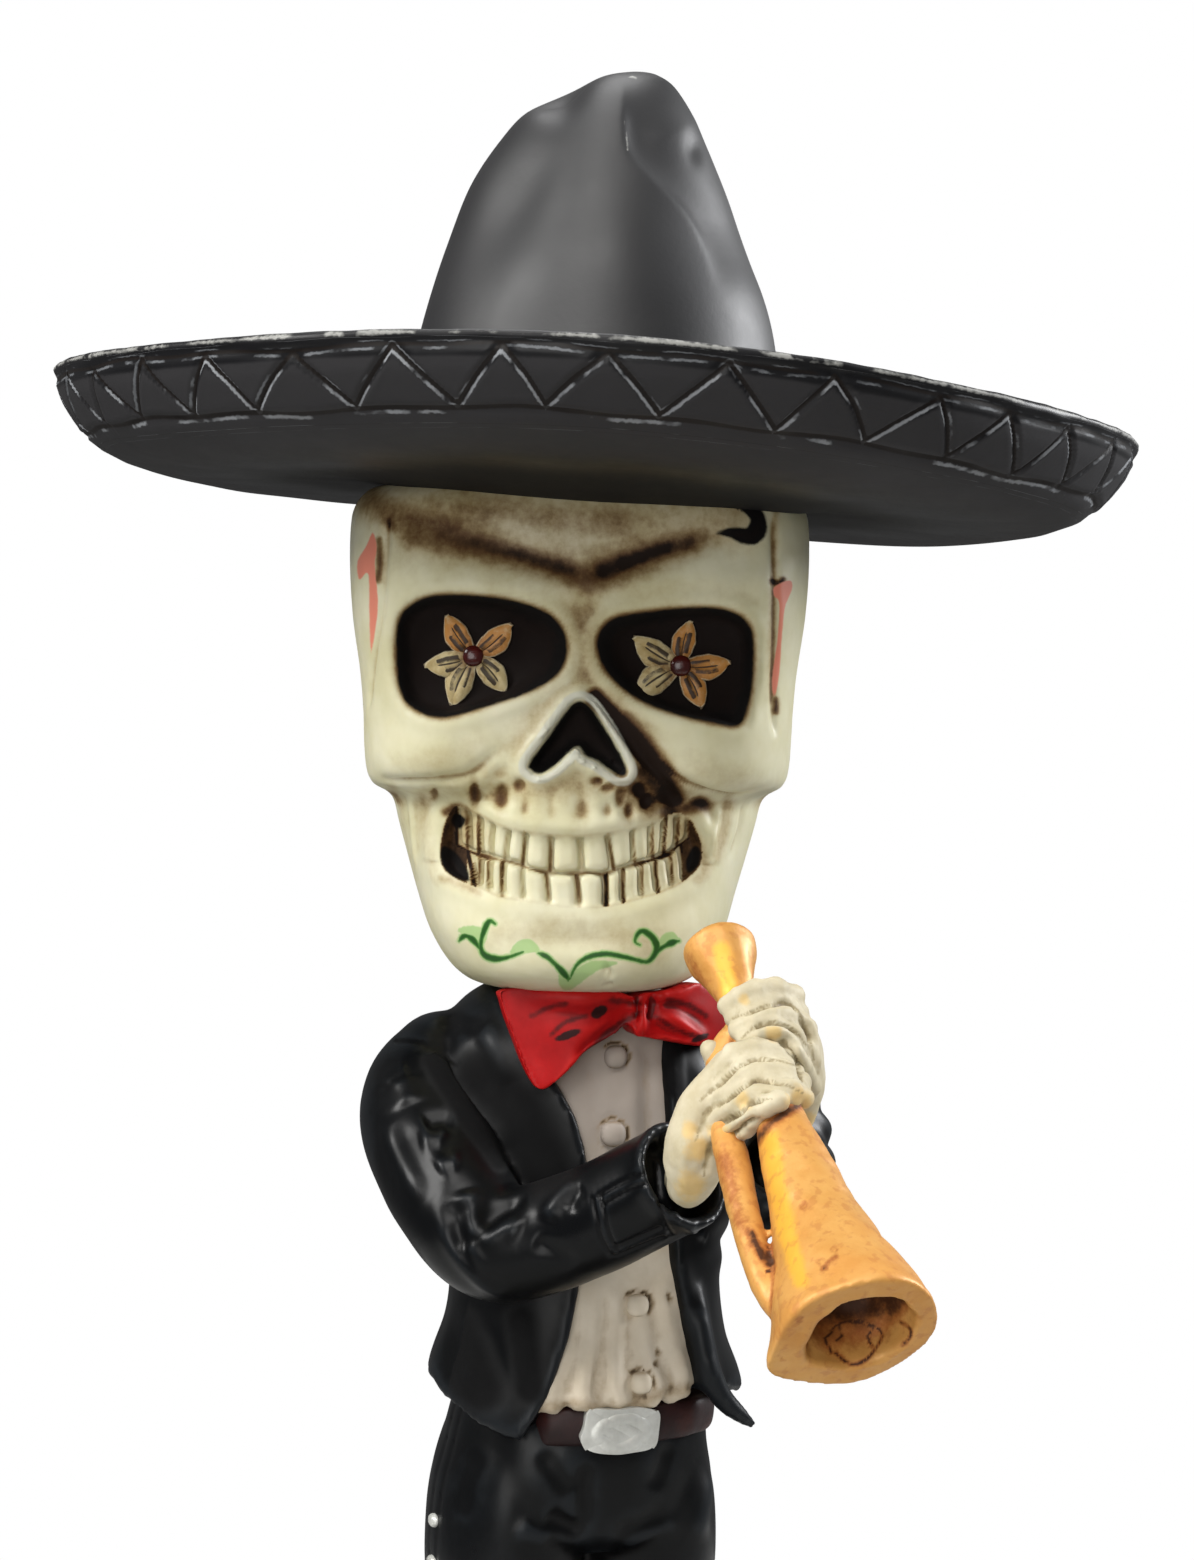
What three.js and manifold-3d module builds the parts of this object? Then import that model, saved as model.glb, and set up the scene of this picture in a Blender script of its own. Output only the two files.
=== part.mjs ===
// Day of the dead musician figure: a skull under a wide sombrero, cast as one piece,
// set on a small body that holds a trumpet. Millimetres, +Z up, the body faces -Y.
import * as THREE from 'three';
import { mergeVertices } from 'three/addons/utils/BufferGeometryUtils.js';
import Module from 'manifold-3d';

const wasm = await Module();
wasm.setup();

// Driving sizes
const baseRadius = 29;
const baseHeight = 4.5;
const baseBevel = 1;
const bodyHeight = 87.5; // top of the base to the chin
const neckRadius = 6;
const neckGap = 0.3;
const neckSeatDepth = 1.6; // recess under the skull for the neck
const neckSeatSlack = 2;
const skullHeight = 46; // chin to the hidden top of the skull
const skullWidth = 41.2;
const skullDepth = 37.5;
const brimRadius = 49.3;
const brimDish = 9.7; // rim down to the lowest ring of the underside
const brimWall = 1.7;
const crownHeight = 38.2; // floor of the brim to the peak
const crownWidth = 37;
const headYaw = -20; // degrees, the head looks past the figure's right shoulder
const skullRoll = 0.6;
const skullShift = -0.6; // the skull sits this far to one side of the neck
const hatRoll = 4.2;
const hatShift = 2; // the hat sits this far to one side of the skull
const trumpetLength = 41.4;
const trumpetTube = 3.4;
const bellRadius = 6.6;
const bellMouthRadius = 4.4;
const bellHollow = 7; // depth of the hollow in the bell
const bendTube = 2.4;
const toothCount = 9;

// Proportions were taken on a body and a skull of these sizes, and follow them.
const bodyTaken = 87.5;
const skullTaken = { height: 46, width: 41.2, depth: 37.5 };
const crownTaken = { height: 38.8, width: 37 };

const radians = (degrees) => (degrees * Math.PI) / 180;
const mix = (a, b, t) => a + (b - a) * t;
const bodyShare = bodyHeight / bodyTaken;
const onBody = (x, y, z) => new THREE.Vector3(x * bodyShare, y * bodyShare, baseHeight + z * bodyShare);
const chinLevel = baseHeight + bodyHeight;

// Closed meshes and their joins

function toSolid(geometry) {
  const bare = geometry.index ? geometry.clone() : geometry;
  for (const name of Object.keys(bare.attributes)) {
    if (name !== 'position') bare.deleteAttribute(name);
  }
  const merged = mergeVertices(bare, 1e-4);
  const triVerts = Uint32Array.from(merged.index.array);
  const vertProperties = Float32Array.from(merged.attributes.position.array);
  const made = new wasm.Manifold(new wasm.Mesh({ numProp: 3, vertProperties, triVerts }));
  if (made.volume() > 0) return made;
  const flipped = new Uint32Array(triVerts.length);
  for (let i = 0; i < triVerts.length; i += 3) {
    flipped[i] = triVerts[i];
    flipped[i + 1] = triVerts[i + 2];
    flipped[i + 2] = triVerts[i + 1];
  }
  return new wasm.Manifold(new wasm.Mesh({ numProp: 3, vertProperties, triVerts: flipped }));
}

function toGeometry(made) {
  const mesh = made.getMesh();
  const positions = new Float32Array(mesh.numVert * 3);
  for (let i = 0; i < mesh.numVert; i += 1) {
    for (let k = 0; k < 3; k += 1) {
      positions[3 * i + k] = mesh.vertProperties[i * mesh.numProp + k];
    }
  }
  const geometry = new THREE.BufferGeometry();
  geometry.setAttribute('position', new THREE.BufferAttribute(positions, 3));
  geometry.setIndex(new THREE.BufferAttribute(Uint32Array.from(mesh.triVerts), 1));
  geometry.computeVertexNormals();
  return geometry;
}

// Corners closer than the grain are one corner, and the slivers between them go
function settle(geometry, grain = 0.005) {
  const from = geometry.attributes.position.array;
  const index = geometry.index.array;
  const known = new Map();
  const positions = [];
  const corner = (i) => {
    const steps = [0, 1, 2].map((k) => Math.round(from[3 * i + k] / grain));
    const key = steps.join();
    if (!known.has(key)) {
      known.set(key, known.size);
      positions.push(...steps.map((step) => step * grain));
    }
    return known.get(key);
  };
  const faces = new Map();
  for (let i = 0; i < index.length; i += 3) {
    const [a, b, c] = [corner(index[i]), corner(index[i + 1]), corner(index[i + 2])];
    if (a === b || b === c || c === a) continue;
    const key = [a, b, c].sort((p, q) => p - q).join();
    if (faces.has(key)) faces.delete(key);
    else faces.set(key, [a, b, c]);
  }
  const settled = new THREE.BufferGeometry();
  settled.setAttribute('position', new THREE.Float32BufferAttribute(positions, 3));
  settled.setIndex([...faces.values()].flat());
  settled.computeVertexNormals();
  return settled;
}

const joinAll = (solids) => solids.reduce((whole, next) => whole.add(next));

// Rings of points, all with the same count, skinned into a closed body
function skin(rings) {
  const count = rings[0].length;
  const points = rings.flat();
  const faces = [];
  for (let r = 0; r < rings.length - 1; r += 1) {
    for (let i = 0; i < count; i += 1) {
      const a = r * count + i;
      const b = r * count + ((i + 1) % count);
      faces.push([a, b, b + count], [a, b + count, a + count]);
    }
  }
  const middle = (ring) => ring.reduce((sum, p) => sum.add(p), new THREE.Vector3()).divideScalar(count);
  const first = points.push(middle(rings[0])) - 1;
  const last = points.push(middle(rings[rings.length - 1])) - 1;
  const lastStart = (rings.length - 1) * count;
  for (let i = 0; i < count; i += 1) {
    const j = (i + 1) % count;
    faces.push([first, j, i], [last, lastStart + i, lastStart + j]);
  }
  const geometry = new THREE.BufferGeometry();
  geometry.setAttribute('position', new THREE.Float32BufferAttribute(points.flatMap((p) => p.toArray()), 3));
  geometry.setIndex(faces.flat());
  return toSolid(geometry);
}

// A level ring, squarer as the power rises, with its own reach to the front and to the back
function levelRing({ z, x = 0, y = 0, half, front, back, power = 2, backPower = 2, count = 28 }) {
  const ring = [];
  for (let i = 0; i < count; i += 1) {
    const turn = (2 * Math.PI * i) / count;
    const c = Math.cos(turn);
    const s = Math.sin(turn);
    const n = s < 0 ? power : backPower;
    const reach = s < 0 ? front : back;
    const px = Math.sign(c) * Math.abs(c) ** (2 / n) * half;
    const py = Math.sign(s) * Math.abs(s) ** (2 / n) * reach;
    ring.push(new THREE.Vector3(x + px, y + py, z));
  }
  return ring;
}

// A limb along points, each with its own two half sizes, round at both ends
function limb(stops, { sides = 12, steps = 3, round = true } = {}) {
  const curve = new THREE.CatmullRomCurve3(stops.map((stop) => stop.at), false, 'centripetal');
  const total = (stops.length - 1) * steps;
  const rings = [];
  let side = null;
  const place = (t, grow, along) => {
    const tangent = curve.getTangent(t);
    if (!side) {
      side = Math.abs(tangent.z) > 0.9 ? new THREE.Vector3(1, 0, 0) : new THREE.Vector3(0, 0, 1);
    }
    side.addScaledVector(tangent, -side.dot(tangent)).normalize();
    const other = new THREE.Vector3().crossVectors(tangent, side);
    const spot = t * (stops.length - 1);
    const k = Math.min(Math.floor(spot), stops.length - 2);
    const wide = mix(stops[k].wide, stops[k + 1].wide, spot - k) * grow;
    const deep = mix(stops[k].deep ?? stops[k].wide, stops[k + 1].deep ?? stops[k + 1].wide, spot - k) * grow;
    const centre = curve.getPoint(t).addScaledVector(tangent, along);
    const ring = [];
    for (let i = 0; i < sides; i += 1) {
      const turn = (2 * Math.PI * i) / sides;
      ring.push(centre.clone().addScaledVector(side, Math.cos(turn) * deep).addScaledVector(other, Math.sin(turn) * wide));
    }
    rings.push(ring);
  };
  if (round) {
    for (const angle of [75, 40]) place(0, Math.cos(radians(angle)), -Math.sin(radians(angle)) * stops[0].wide);
  }
  for (let i = 0; i <= total; i += 1) place(i / total, 1, 0);
  if (round) {
    const end = stops[stops.length - 1].wide;
    for (const angle of [40, 75]) place(1, Math.cos(radians(angle)), Math.sin(radians(angle)) * end);
  }
  return skin(rings);
}

function egg(centre, radii, { turn = [0, 0, 0], around = 12, tall = 7 } = {}) {
  const geometry = new THREE.SphereGeometry(1, around, tall);
  const matrix = new THREE.Matrix4().compose(
    centre,
    new THREE.Quaternion().setFromEuler(new THREE.Euler(...turn.map(radians))),
    new THREE.Vector3(...radii),
  );
  return toSolid(geometry.applyMatrix4(matrix));
}

function block(centre, size, turn = [0, 0, 0]) {
  const geometry = new THREE.BoxGeometry(...size);
  const matrix = new THREE.Matrix4().compose(
    centre,
    new THREE.Quaternion().setFromEuler(new THREE.Euler(...turn.map(radians))),
    new THREE.Vector3(1, 1, 1),
  );
  return toSolid(geometry.applyMatrix4(matrix));
}

// A turned body: radius and height pairs, closed on the axis
function turned(profile, segments) {
  const points = profile.map(([r, z]) => new THREE.Vector2(r, z));
  const geometry = new THREE.LatheGeometry(points, segments);
  geometry.rotateX(Math.PI / 2);
  return toSolid(geometry);
}

// An outline in the plane of the face, x to the viewer's right and z up, cut to a depth
function facePlug(outline, { floor, reach, swing = 0, pivot = 0, smooth = true, steps = 15 }) {
  let points = outline.map(([x, z]) => new THREE.Vector2(x, z));
  if (smooth) {
    const loop = new THREE.CatmullRomCurve3(points.map((p) => new THREE.Vector3(p.x, p.y, 0)), true, 'centripetal');
    points = loop.getPoints(steps).slice(0, -1).map((p) => new THREE.Vector2(p.x, p.y));
  }
  const geometry = new THREE.ExtrudeGeometry(new THREE.Shape(points), { depth: reach, bevelEnabled: false });
  geometry.rotateX(Math.PI / 2);
  geometry.translate(-pivot, 0, 0);
  geometry.rotateZ(radians(swing));
  geometry.translate(pivot, floor, 0);
  return toSolid(geometry);
}

// Skull, in the head's own frame: x to the viewer's right, -y to the face, z up from the chin

const wideShare = skullWidth / skullTaken.width;
const deepShare = skullDepth / skullTaken.depth;
const tallShare = skullHeight / skullTaken.height;
const onSkull = (x, y, z) => new THREE.Vector3(x * wideShare, y * deepShare, z * tallShare);

function skullRing([z, half, front, back, power, backPower, x = 0], grow = 0, count = 20) {
  return levelRing({
    z: z * tallShare - grow,
    x: x * wideShare,
    half: half * wideShare + grow,
    front: front * deepShare + grow,
    back: back * deepShare + grow,
    power,
    backPower,
    count,
  });
}

function cranium() {
  const rings = [
    [17.4, 15.5, 13.5, 13, 3, 2.2],
    [18.0, 18.1, 16.2, 14.5, 3.4, 2.2],
    [19.4, 18.9, 17.1, 16, 3.6, 2.2],
    [23, 19.1, 17.3, 18, 3.8, 2.3],
    [28, 19.5, 17.0, 19.3, 4, 2.3],
    [33, 20.2, 17.4, 20, 4, 2.3],
    [38, 20.6, 17.4, 20.1, 3.6, 2.3],
    [41.4, 20.6, 16.8, 19.8, 3.2, 2.3],
    [42.8, 17.6, 14.4, 16.8, 2.6, 2.3],
  ];
  return skin(rings.map((ring) => skullRing(ring)));
}

function jaw(grow = 0) {
  const rings = [
    [0, 6.3, 12.4, 5, 2.6, 2.2, 0.3],
    [0.7, 9.4, 15.4, 8, 2.8, 2.2, 0.3],
    [2.2, 11.4, 17.2, 10, 2.9, 2.2, 0.2],
    [5.2, 13.2, 17.8, 11, 2.9, 2.2, 0.1],
    [8.6, 14.3, 16.9, 11.8, 2.8, 2.2],
    [12.3, 15.4, 15.9, 12.4, 2.6, 2.2],
    [16, 16.4, 15.2, 13, 2.5, 2.2],
    [19.5, 16.9, 14.6, 13.4, 2.5, 2.2],
  ];
  return skin(rings.map((ring) => skullRing(ring, grow)));
}

// Upper jaw and gums, standing forward of the cheeks
const muzzle = { half: 12.6, front: 17.9, centre: -0.5 };

function muzzleBody() {
  const rings = [
    [5.4, 9.5, 15.4],
    [7.6, 11.6, 17.6],
    [11, muzzle.half, muzzle.front],
    [14.5, 12.3, muzzle.front],
    [18.5, 9.8, 17.6],
    [22, 6.2, 17.4],
  ].map(([z, half, front]) => skullRing([z, half, front, 0.6, 2.5, 2.2, muzzle.centre]));
  return skin(rings);
}

// Point on the gums at a turn from the middle of the face
function gumSpot(turn, inset) {
  const half = muzzle.half - inset;
  const front = muzzle.front - inset;
  const s = Math.sin(radians(turn));
  const c = Math.cos(radians(turn));
  return [muzzle.centre + Math.sign(s) * Math.abs(s) ** (2 / 2.5) * half, -(Math.abs(c) ** (2 / 2.5)) * front];
}

// The smile: each level of the mouth rises towards the corners
const smile = (level, turn) => level + 2.6 * (turn / 70) ** 2 - 0.8 * (turn / 70);

function mouthCut() {
  const rings = [];
  for (let turn = -66; turn <= 66; turn += 12) {
    const [ox, oy] = gumSpot(turn, -2);
    const [ix, iy] = gumSpot(turn, 1.3);
    const close = 1 - 0.35 * (turn / 66) ** 6;
    const top = smile(11.3 + 2.6 * close, turn);
    const low = smile(11.3 - 3.4 * close, turn);
    rings.push([onSkull(ox, oy, low), onSkull(ix, iy, low), onSkull(ix, iy, top), onSkull(ox, oy, top)]);
  }
  return skin(rings);
}

function teeth() {
  const made = [];
  const step = 118 / toothCount;
  for (let i = 0; i < toothCount; i += 1) {
    const turn = (i - (toothCount - 1) / 2) * step;
    const [x, y] = gumSpot(turn, 0.8);
    const wide = step * 0.185;
    const slim = 1 - 0.25 * Math.abs(turn / 60);
    made.push(block(onSkull(x, y, smile(12.6, turn)), [wide * slim, 1.9, 2.5], [0, 0, turn * 0.85]));
    made.push(block(onSkull(x, y, smile(9.75, turn)), [wide * slim * 0.9, 1.7, 2.5], [0, 0, turn * 0.85]));
  }
  return made;
}

function eyeCut(side) {
  const outline = [
    [15.9, 29], [15.4, 33], [12.4, 34.1], [6.6, 33.8], [2.9, 32.2],
    [1.9, 29.8], [3.6, 27], [8.1, 24.8], [13.4, 24], [15.6, 25.2],
  ].map(([x, z]) => [x * side * wideShare, z * tallShare]);
  return facePlug(outline, {
    floor: -14.9 * deepShare,
    reach: 8,
    swing: 7 * side,
    pivot: 7 * side * wideShare,
  });
}

const noseOutline = (grow) => [
  [0, 25.7 + grow], [1.8, 24.5 + 0.6 * grow], [4.3 + 0.8 * grow, 20.4], [4.5 + grow, 19.2 - 0.5 * grow],
  [3.0 + 0.4 * grow, 18.7 - grow], [0, 20.5 - grow], [-3.0 - 0.4 * grow, 19 - grow],
  [-4.5 - grow, 19.6 - 0.5 * grow], [-4.3 - 0.8 * grow, 20.6], [-1.8, 24.5 + 0.6 * grow],
].map(([x, z]) => [x * wideShare, z * tallShare]);

function noseRim() {
  return facePlug(noseOutline(0.5), { floor: -14 * deepShare, reach: 4.1 * deepShare, steps: 20 });
}

function noseCut() {
  return facePlug(noseOutline(0), { floor: -15.6 * deepShare, reach: 6, steps: 20 });
}

// A round recess under the skull that the neck stands in
function neckSeat() {
  const r = neckRadius + neckSeatSlack;
  return turned([[0, -1], [r, -1], [r, neckSeatDepth], [0, neckSeatDepth]], 16);
}

function skull() {
  const bone = joinAll([cranium(), jaw(), muzzleBody(), noseRim()]);
  const carved = bone.subtract(mouthCut()).subtract(eyeCut(1)).subtract(eyeCut(-1)).subtract(noseCut());
  return joinAll([carved, ...teeth()]).subtract(neckSeat());
}

// Sombrero, in the hat's own frame: the rim lies in the plane z = 0

// One slope of the zigzag spans one column of the brim, so a peak takes two columns.
const zigzagPeaks = 34;
const grooveHalf = 0.045; // share of the dish
const grooveDepth = 0.4;

// The rim dips a little between its front, back and sides.
const waveDip = 0.65;
const waveLean = 0.55;
const brimWave = (turn) => {
  const fromFront = turn + Math.PI / 2;
  return waveLean * Math.sin(2 * fromFront) - waveDip * (1 - Math.cos(4 * fromFront));
};

function brim() {
  const columns = 2 * zigzagPeaks;
  const row = (r, level, { swing = 0, inset = 0 } = {}) => {
    const ring = [];
    for (let i = 0; i < columns; i += 1) {
      const turn = (2 * Math.PI * i) / columns;
      const side = i % 2 ? -1 : 1;
      const reach = r * brimRadius + side * swing * 0.05 * brimRadius - inset;
      const z = (level + side * swing * 0.36) * brimDish + brimWave(turn) * (r - 0.33);
      ring.push(new THREE.Vector3(reach * Math.cos(turn), reach * Math.sin(turn), z));
    }
    return ring;
  };
  const wall = brimWall / brimDish;
  const bandMiddle = [0.963, -0.32];
  return skin([
    row(0.33, -1.06), row(0.36, -0.88), row(0.5, -1), row(0.68, -0.99), row(0.84, -0.83), row(0.935, -0.53),
    row(bandMiddle[0], bandMiddle[1] - grooveHalf, { swing: 0.36 }),
    row(bandMiddle[0], bandMiddle[1], { swing: 0.36, inset: grooveDepth }),
    row(bandMiddle[0], bandMiddle[1] + grooveHalf, { swing: 0.36 }),
    row(0.992, -0.1), row(0.985, 0.02),
    row(0.93, -0.42 + 0.5 * wall), row(0.82, -0.84 + wall), row(0.64, -1 + wall),
  ]);
}

const crownWide = crownWidth / crownTaken.width;
const crownTall = crownHeight / crownTaken.height;

// Crown rings: height above the brim floor, offset, half width, half depth, strength of the pinch
const crownRings = [
  [-0.6, -0.2, 19.0, 18.6, 0],
  [8, -0.3, 17.5, 16.9, 0],
  [16, -0.4, 16.0, 15.2, 0.03],
  [22, -0.9, 14.2, 13.3, 0.07],
  [27.5, -1.2, 12.3, 11.5, 0.12],
  [32, -1.1, 9.9, 9.5, 0.16],
  [35.4, -0.6, 7.5, 7.1, 0.14],
  [37.8, 0.7, 4.3, 4.1, 0.04],
  [38.8, 1.8, 1.5, 1.5, 0],
];

function crown() {
  const count = 20;
  const rings = crownRings.map(([z, x, half, deep, pinch]) => {
    const ring = [];
    for (let i = 0; i < count; i += 1) {
      const turn = (2 * Math.PI * i) / count;
      const fromFront = Math.abs(Math.atan2(Math.cos(turn), -Math.sin(turn)));
      const hollow = pinch * Math.exp(-(((fromFront - radians(48)) / radians(24)) ** 2));
      const px = x + Math.cos(turn) * half * (1 - hollow);
      const py = Math.sin(turn) * deep * (1 - hollow);
      ring.push(new THREE.Vector3(px * crownWide, py * crownWide, z * crownTall));
    }
    return ring;
  });
  return skin(rings);
}

function sombrero() {
  const raised = crown().translate([0, 0, -brimDish + brimWall]);
  return brim().add(raised);
}

// Head and hat together, as cast

function head() {
  const skullGeometry = toGeometry(skull());
  skullGeometry.rotateY(radians(skullRoll));
  skullGeometry.translate(skullShift, 0, 0);
  const hatGeometry = toGeometry(sombrero());
  hatGeometry.rotateY(radians(hatRoll));
  const rimLevel = 43.1 * tallShare + brimDish;
  hatGeometry.translate(skullShift + hatShift, 0, rimLevel);
  const both = joinAll([toSolid(skullGeometry), toSolid(hatGeometry)]);
  return settle(toGeometry(both));
}

// Body, in the figure's frame

function torso() {
  const rings = [
    [45, 12.4, 9.6, 9.4, 2.4],
    [52, 12.2, 11, 9, 2.4],
    [62, 12.2, 12.2, 9, 2.4],
    [74, 13, 12, 9.4, 2.4],
    [82, 12.8, 10, 8.6, 2.3],
    [86.6, 8, 6.4, 5.6, 2],
  ];
  return skin(rings.map(([z, half, front, back, power]) => levelRing({
    z: baseHeight + z * bodyShare,
    half: half * bodyShare,
    front: front * bodyShare,
    back: back * bodyShare,
    power,
    count: 16,
  })));
}

const arms = {
  right: [
    { at: [-14.2, 1.6, 79.4], wide: 5.6 },
    { at: [-16, -2.6, 75], wide: 5.3 },
    { at: [-15.0, -9.6, 69.2], wide: 5.0 },
    { at: [-12.2, -13.6, 65.8], wide: 4.9 },
    { at: [-6.6, -18.2, 68.2], wide: 4.8 },
    { at: [-1.8, -24.2, 71.9], wide: 4.7 },
    { at: [-0.8, -26.8, 73.1], wide: 4.8 },
  ],
  left: [
    { at: [14.2, 0.6, 79.4], wide: 5.6 },
    { at: [16.0, -5, 75.4], wide: 5.3 },
    { at: [15, -12, 71], wide: 4.8 },
    { at: [12, -17.4, 71.2], wide: 4.6 },
    { at: [11, -22, 73.6], wide: 4.5 },
    { at: [10.8, -24, 74.8], wide: 4.6 },
  ],
};

const limbStops = (stops) => stops.map(({ at, wide, deep }) => ({
  at: onBody(...at),
  wide: wide * bodyShare,
  deep: (deep ?? wide) * bodyShare,
}));

function sleeve(side) {
  return limb(limbStops(arms[side]), { sides: 10, steps: 1 });
}

// Jacket: a shell over the torso, open down the front, longer at the two front corners
function jacket() {
  const rings = [
    [45.6, 14.4, 12.6, 11.6],
    [49, 14, 12.9, 10.8],
    [56, 13.1, 13.3, 10.1],
    [70, 13.4, 13.4, 10.2],
    [78, 14.4, 12.4, 10.2],
    [84, 12.6, 10, 8.8],
    [87.2, 8, 7, 6.4],
  ];
  const shell = skin(rings.map(([z, half, front, back]) => levelRing({
    z: baseHeight + z * bodyShare,
    half: half * bodyShare,
    front: front * bodyShare,
    back: back * bodyShare,
    power: 2.4,
    count: 20,
  })));
  const opening = [
    [-1.2, 90], [-3.4, 80], [-2.6, 68], [-3.8, 60], [-6.6, 52], [-9.6, 45],
    [-16, 50.6], [-16, 40], [16, 40], [16, 47.4], [11.6, 45], [10.2, 49], [8.2, 58], [7.4, 66],
    [7.2, 76], [5.4, 84], [2.4, 90],
  ].map(([x, z]) => [x * bodyShare, baseHeight + z * bodyShare]);
  const front = facePlug(opening, { floor: -1, reach: 20, smooth: false });
  const tail = limb(limbStops([
    { at: [10.2, -8, 57], wide: 1.2, deep: 2.6 },
    { at: [11, -9.6, 52], wide: 1.1, deep: 2.2 },
    { at: [12.6, -11, 48.4], wide: 0.8, deep: 1 },
  ]), { sides: 6, steps: 1 });
  return shell.subtract(front).add(tail);
}

const shirtButtons = [[-1.9, -10.4, 82], [-2, -11.6, 75.4], [-0.4, -11.9, 60.4], [-0.2, -11, 53.2]];

function buttons() {
  return shirtButtons.map(([x, y, z]) => egg(onBody(x, y, z), [1.1, 0.9, 1.1], { around: 6, tall: 4 }));
}

function belt() {
  const ring = (z, grow) => levelRing({
    z: baseHeight + z * bodyShare,
    half: (12.2 + grow) * bodyShare,
    front: (10.6 + grow) * bodyShare,
    back: (9.2 + grow) * bodyShare,
    power: 2.4,
    count: 20,
  });
  const strap = skin([ring(47, 0.5), ring(48.9, 0.9), ring(50.8, 0.5)]);
  const buckle = block(onBody(-1.2, -11.4, 48.9), [7.4, 1.8, 4.2], [0, 0, -4]);
  return joinAll([strap, buckle]);
}

function bowTie() {
  const knot = egg(onBody(0.2, -12.6, 85.4), [2.4, 2.2, 2.6], { around: 8, tall: 5 });
  const wing = (outline, swing) => facePlug(
    outline.map(([x, z]) => [x * bodyShare, baseHeight + z * bodyShare]),
    { floor: -11 * bodyShare, reach: 2.8 * bodyShare, swing, smooth: false },
  );
  const rightWing = wing([[1, 87.2], [-9.4, 87.4], [-9.8, 84.4], [-7.8, 79.2], [-6.4, 78.8], [-4, 81.2], [1, 83.6]], -4);
  const leftWing = wing([[-1.2, 87.5], [5.4, 88.6], [8.6, 87.2], [9.2, 82.6], [6.2, 82.2], [2.6, 83.4], [-1.2, 84.2]], 4);
  const underJaw = toGeometry(jaw(neckGap));
  underJaw.rotateY(radians(skullRoll));
  underJaw.translate(skullShift, 0, 0);
  underJaw.rotateZ(radians(headYaw));
  underJaw.translate(0, 0, chinLevel);
  return joinAll([knot, rightWing, leftWing]).subtract(toSolid(underJaw));
}

// Trumpet, from the mouthpiece down to the bell

const mouthpieceAt = onBody(3.9, -24.8, 92.2);
const trumpetWay = new THREE.Vector3(-0.019, -0.73, -0.683).normalize();
const alongTrumpet = (length) => mouthpieceAt.clone().addScaledVector(trumpetWay, length);

function trumpet() {
  const tube = trumpetTube / 2;
  const profile = [
    [0, 0], [2.4, 0], [2.9, 0.8], [2.1, 2.8], [tube, 6],
    [tube, trumpetLength * 0.38], [tube * 1.45, trumpetLength * 0.58], [tube * 2.25, trumpetLength * 0.82],
    [bellRadius * 0.84, trumpetLength * 0.94], [bellRadius, trumpetLength],
    [bellMouthRadius, trumpetLength], [bellMouthRadius * 0.7, trumpetLength - 0.6 * bellHollow],
    [0, trumpetLength - bellHollow],
  ];
  const geometry = new THREE.LatheGeometry(profile.map(([r, y]) => new THREE.Vector2(r, y)), 12);
  const turn = new THREE.Quaternion().setFromUnitVectors(new THREE.Vector3(0, 1, 0), trumpetWay);
  geometry.applyQuaternion(turn);
  geometry.translate(mouthpieceAt.x, mouthpieceAt.y, mouthpieceAt.z);
  const bell = toSolid(geometry);
  const away = new THREE.Vector3(-1, 0, 0).addScaledVector(trumpetWay, trumpetWay.x).normalize();
  const beside = (length, out) => alongTrumpet(length).addScaledVector(away, out);
  const wide = bendTube / 2;
  const bend = limb([
    { at: beside(9, 1), wide }, { at: beside(11, 4.4), wide }, { at: beside(16, 5.8), wide },
    { at: beside(24, 6), wide }, { at: beside(31, 6), wide }, { at: beside(34.6, 5), wide },
    { at: beside(36.4, 3.4), wide },
  ], { sides: 6, steps: 1 });
  return joinAll([bell, bend]);
}

// Hands of bone, the right one below the left one

const hands = {
  right: {
    palm: [
      { at: [-1.2, -28.4, 73.1], wide: 2.9, deep: 3.2 }, { at: [-2, -31, 74.9], wide: 3.0, deep: 3.9 },
      { at: [-2.4, -33.2, 78.2], wide: 2.6, deep: 4.0 }, { at: [-1.6, -34.4, 81.3], wide: 2.0, deep: 3.2 },
    ],
    fingers: [
      [[-1.4, -35.6, 82.9], [1.5, -36.5, 84.3], [5, -35.3, 83.5]],
      [[-1.1, -37.6, 80.8], [2.3, -39.1, 81.9], [6, -37.7, 80.9]],
      [[-0.9, -38.8, 78.2], [2.6, -40.9, 79], [6.4, -39.5, 78.2]],
      [[-1.1, -38, 75.5], [1.7, -41.1, 76.1], [5, -41.3, 75.9]],
    ],
  },
  left: {
    palm: [
      { at: [10.8, -25.5, 75.8], wide: 2.7, deep: 3.0 }, { at: [10.8, -28.1, 79], wide: 2.6, deep: 3.8 },
      { at: [9.8, -29.9, 83.3], wide: 2.4, deep: 4.0 }, { at: [8.2, -30.1, 87.2], wide: 2, deep: 3 },
    ],
    fingers: [
      [[8.2, -30.3, 89.4], [4.7, -32.1, 90.7], [1.1, -30.8, 89.9]],
      [[8.8, -32.3, 87.4], [5, -34.1, 88.2], [1.1, -32.8, 87.2]],
      [[9.4, -33.5, 84.7], [6, -35.7, 85.4], [2.5, -35.1, 84.3]],
      [[9.8, -34.1, 81.7], [7.2, -36.5, 82.3], [5, -36.9, 81.7]],
    ],
  },
};

function hand(side) {
  const palm = limb(limbStops(hands[side].palm), { sides: 8, steps: 1 });
  const fingers = hands[side].fingers.map((spots) => limb(
    limbStops(spots.map((at) => ({ at, wide: 1.45 }))),
    { sides: 5, steps: 1 },
  ));
  return joinAll([palm, ...fingers]);
}

// Legs in flared trousers, boots and the low base

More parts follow.
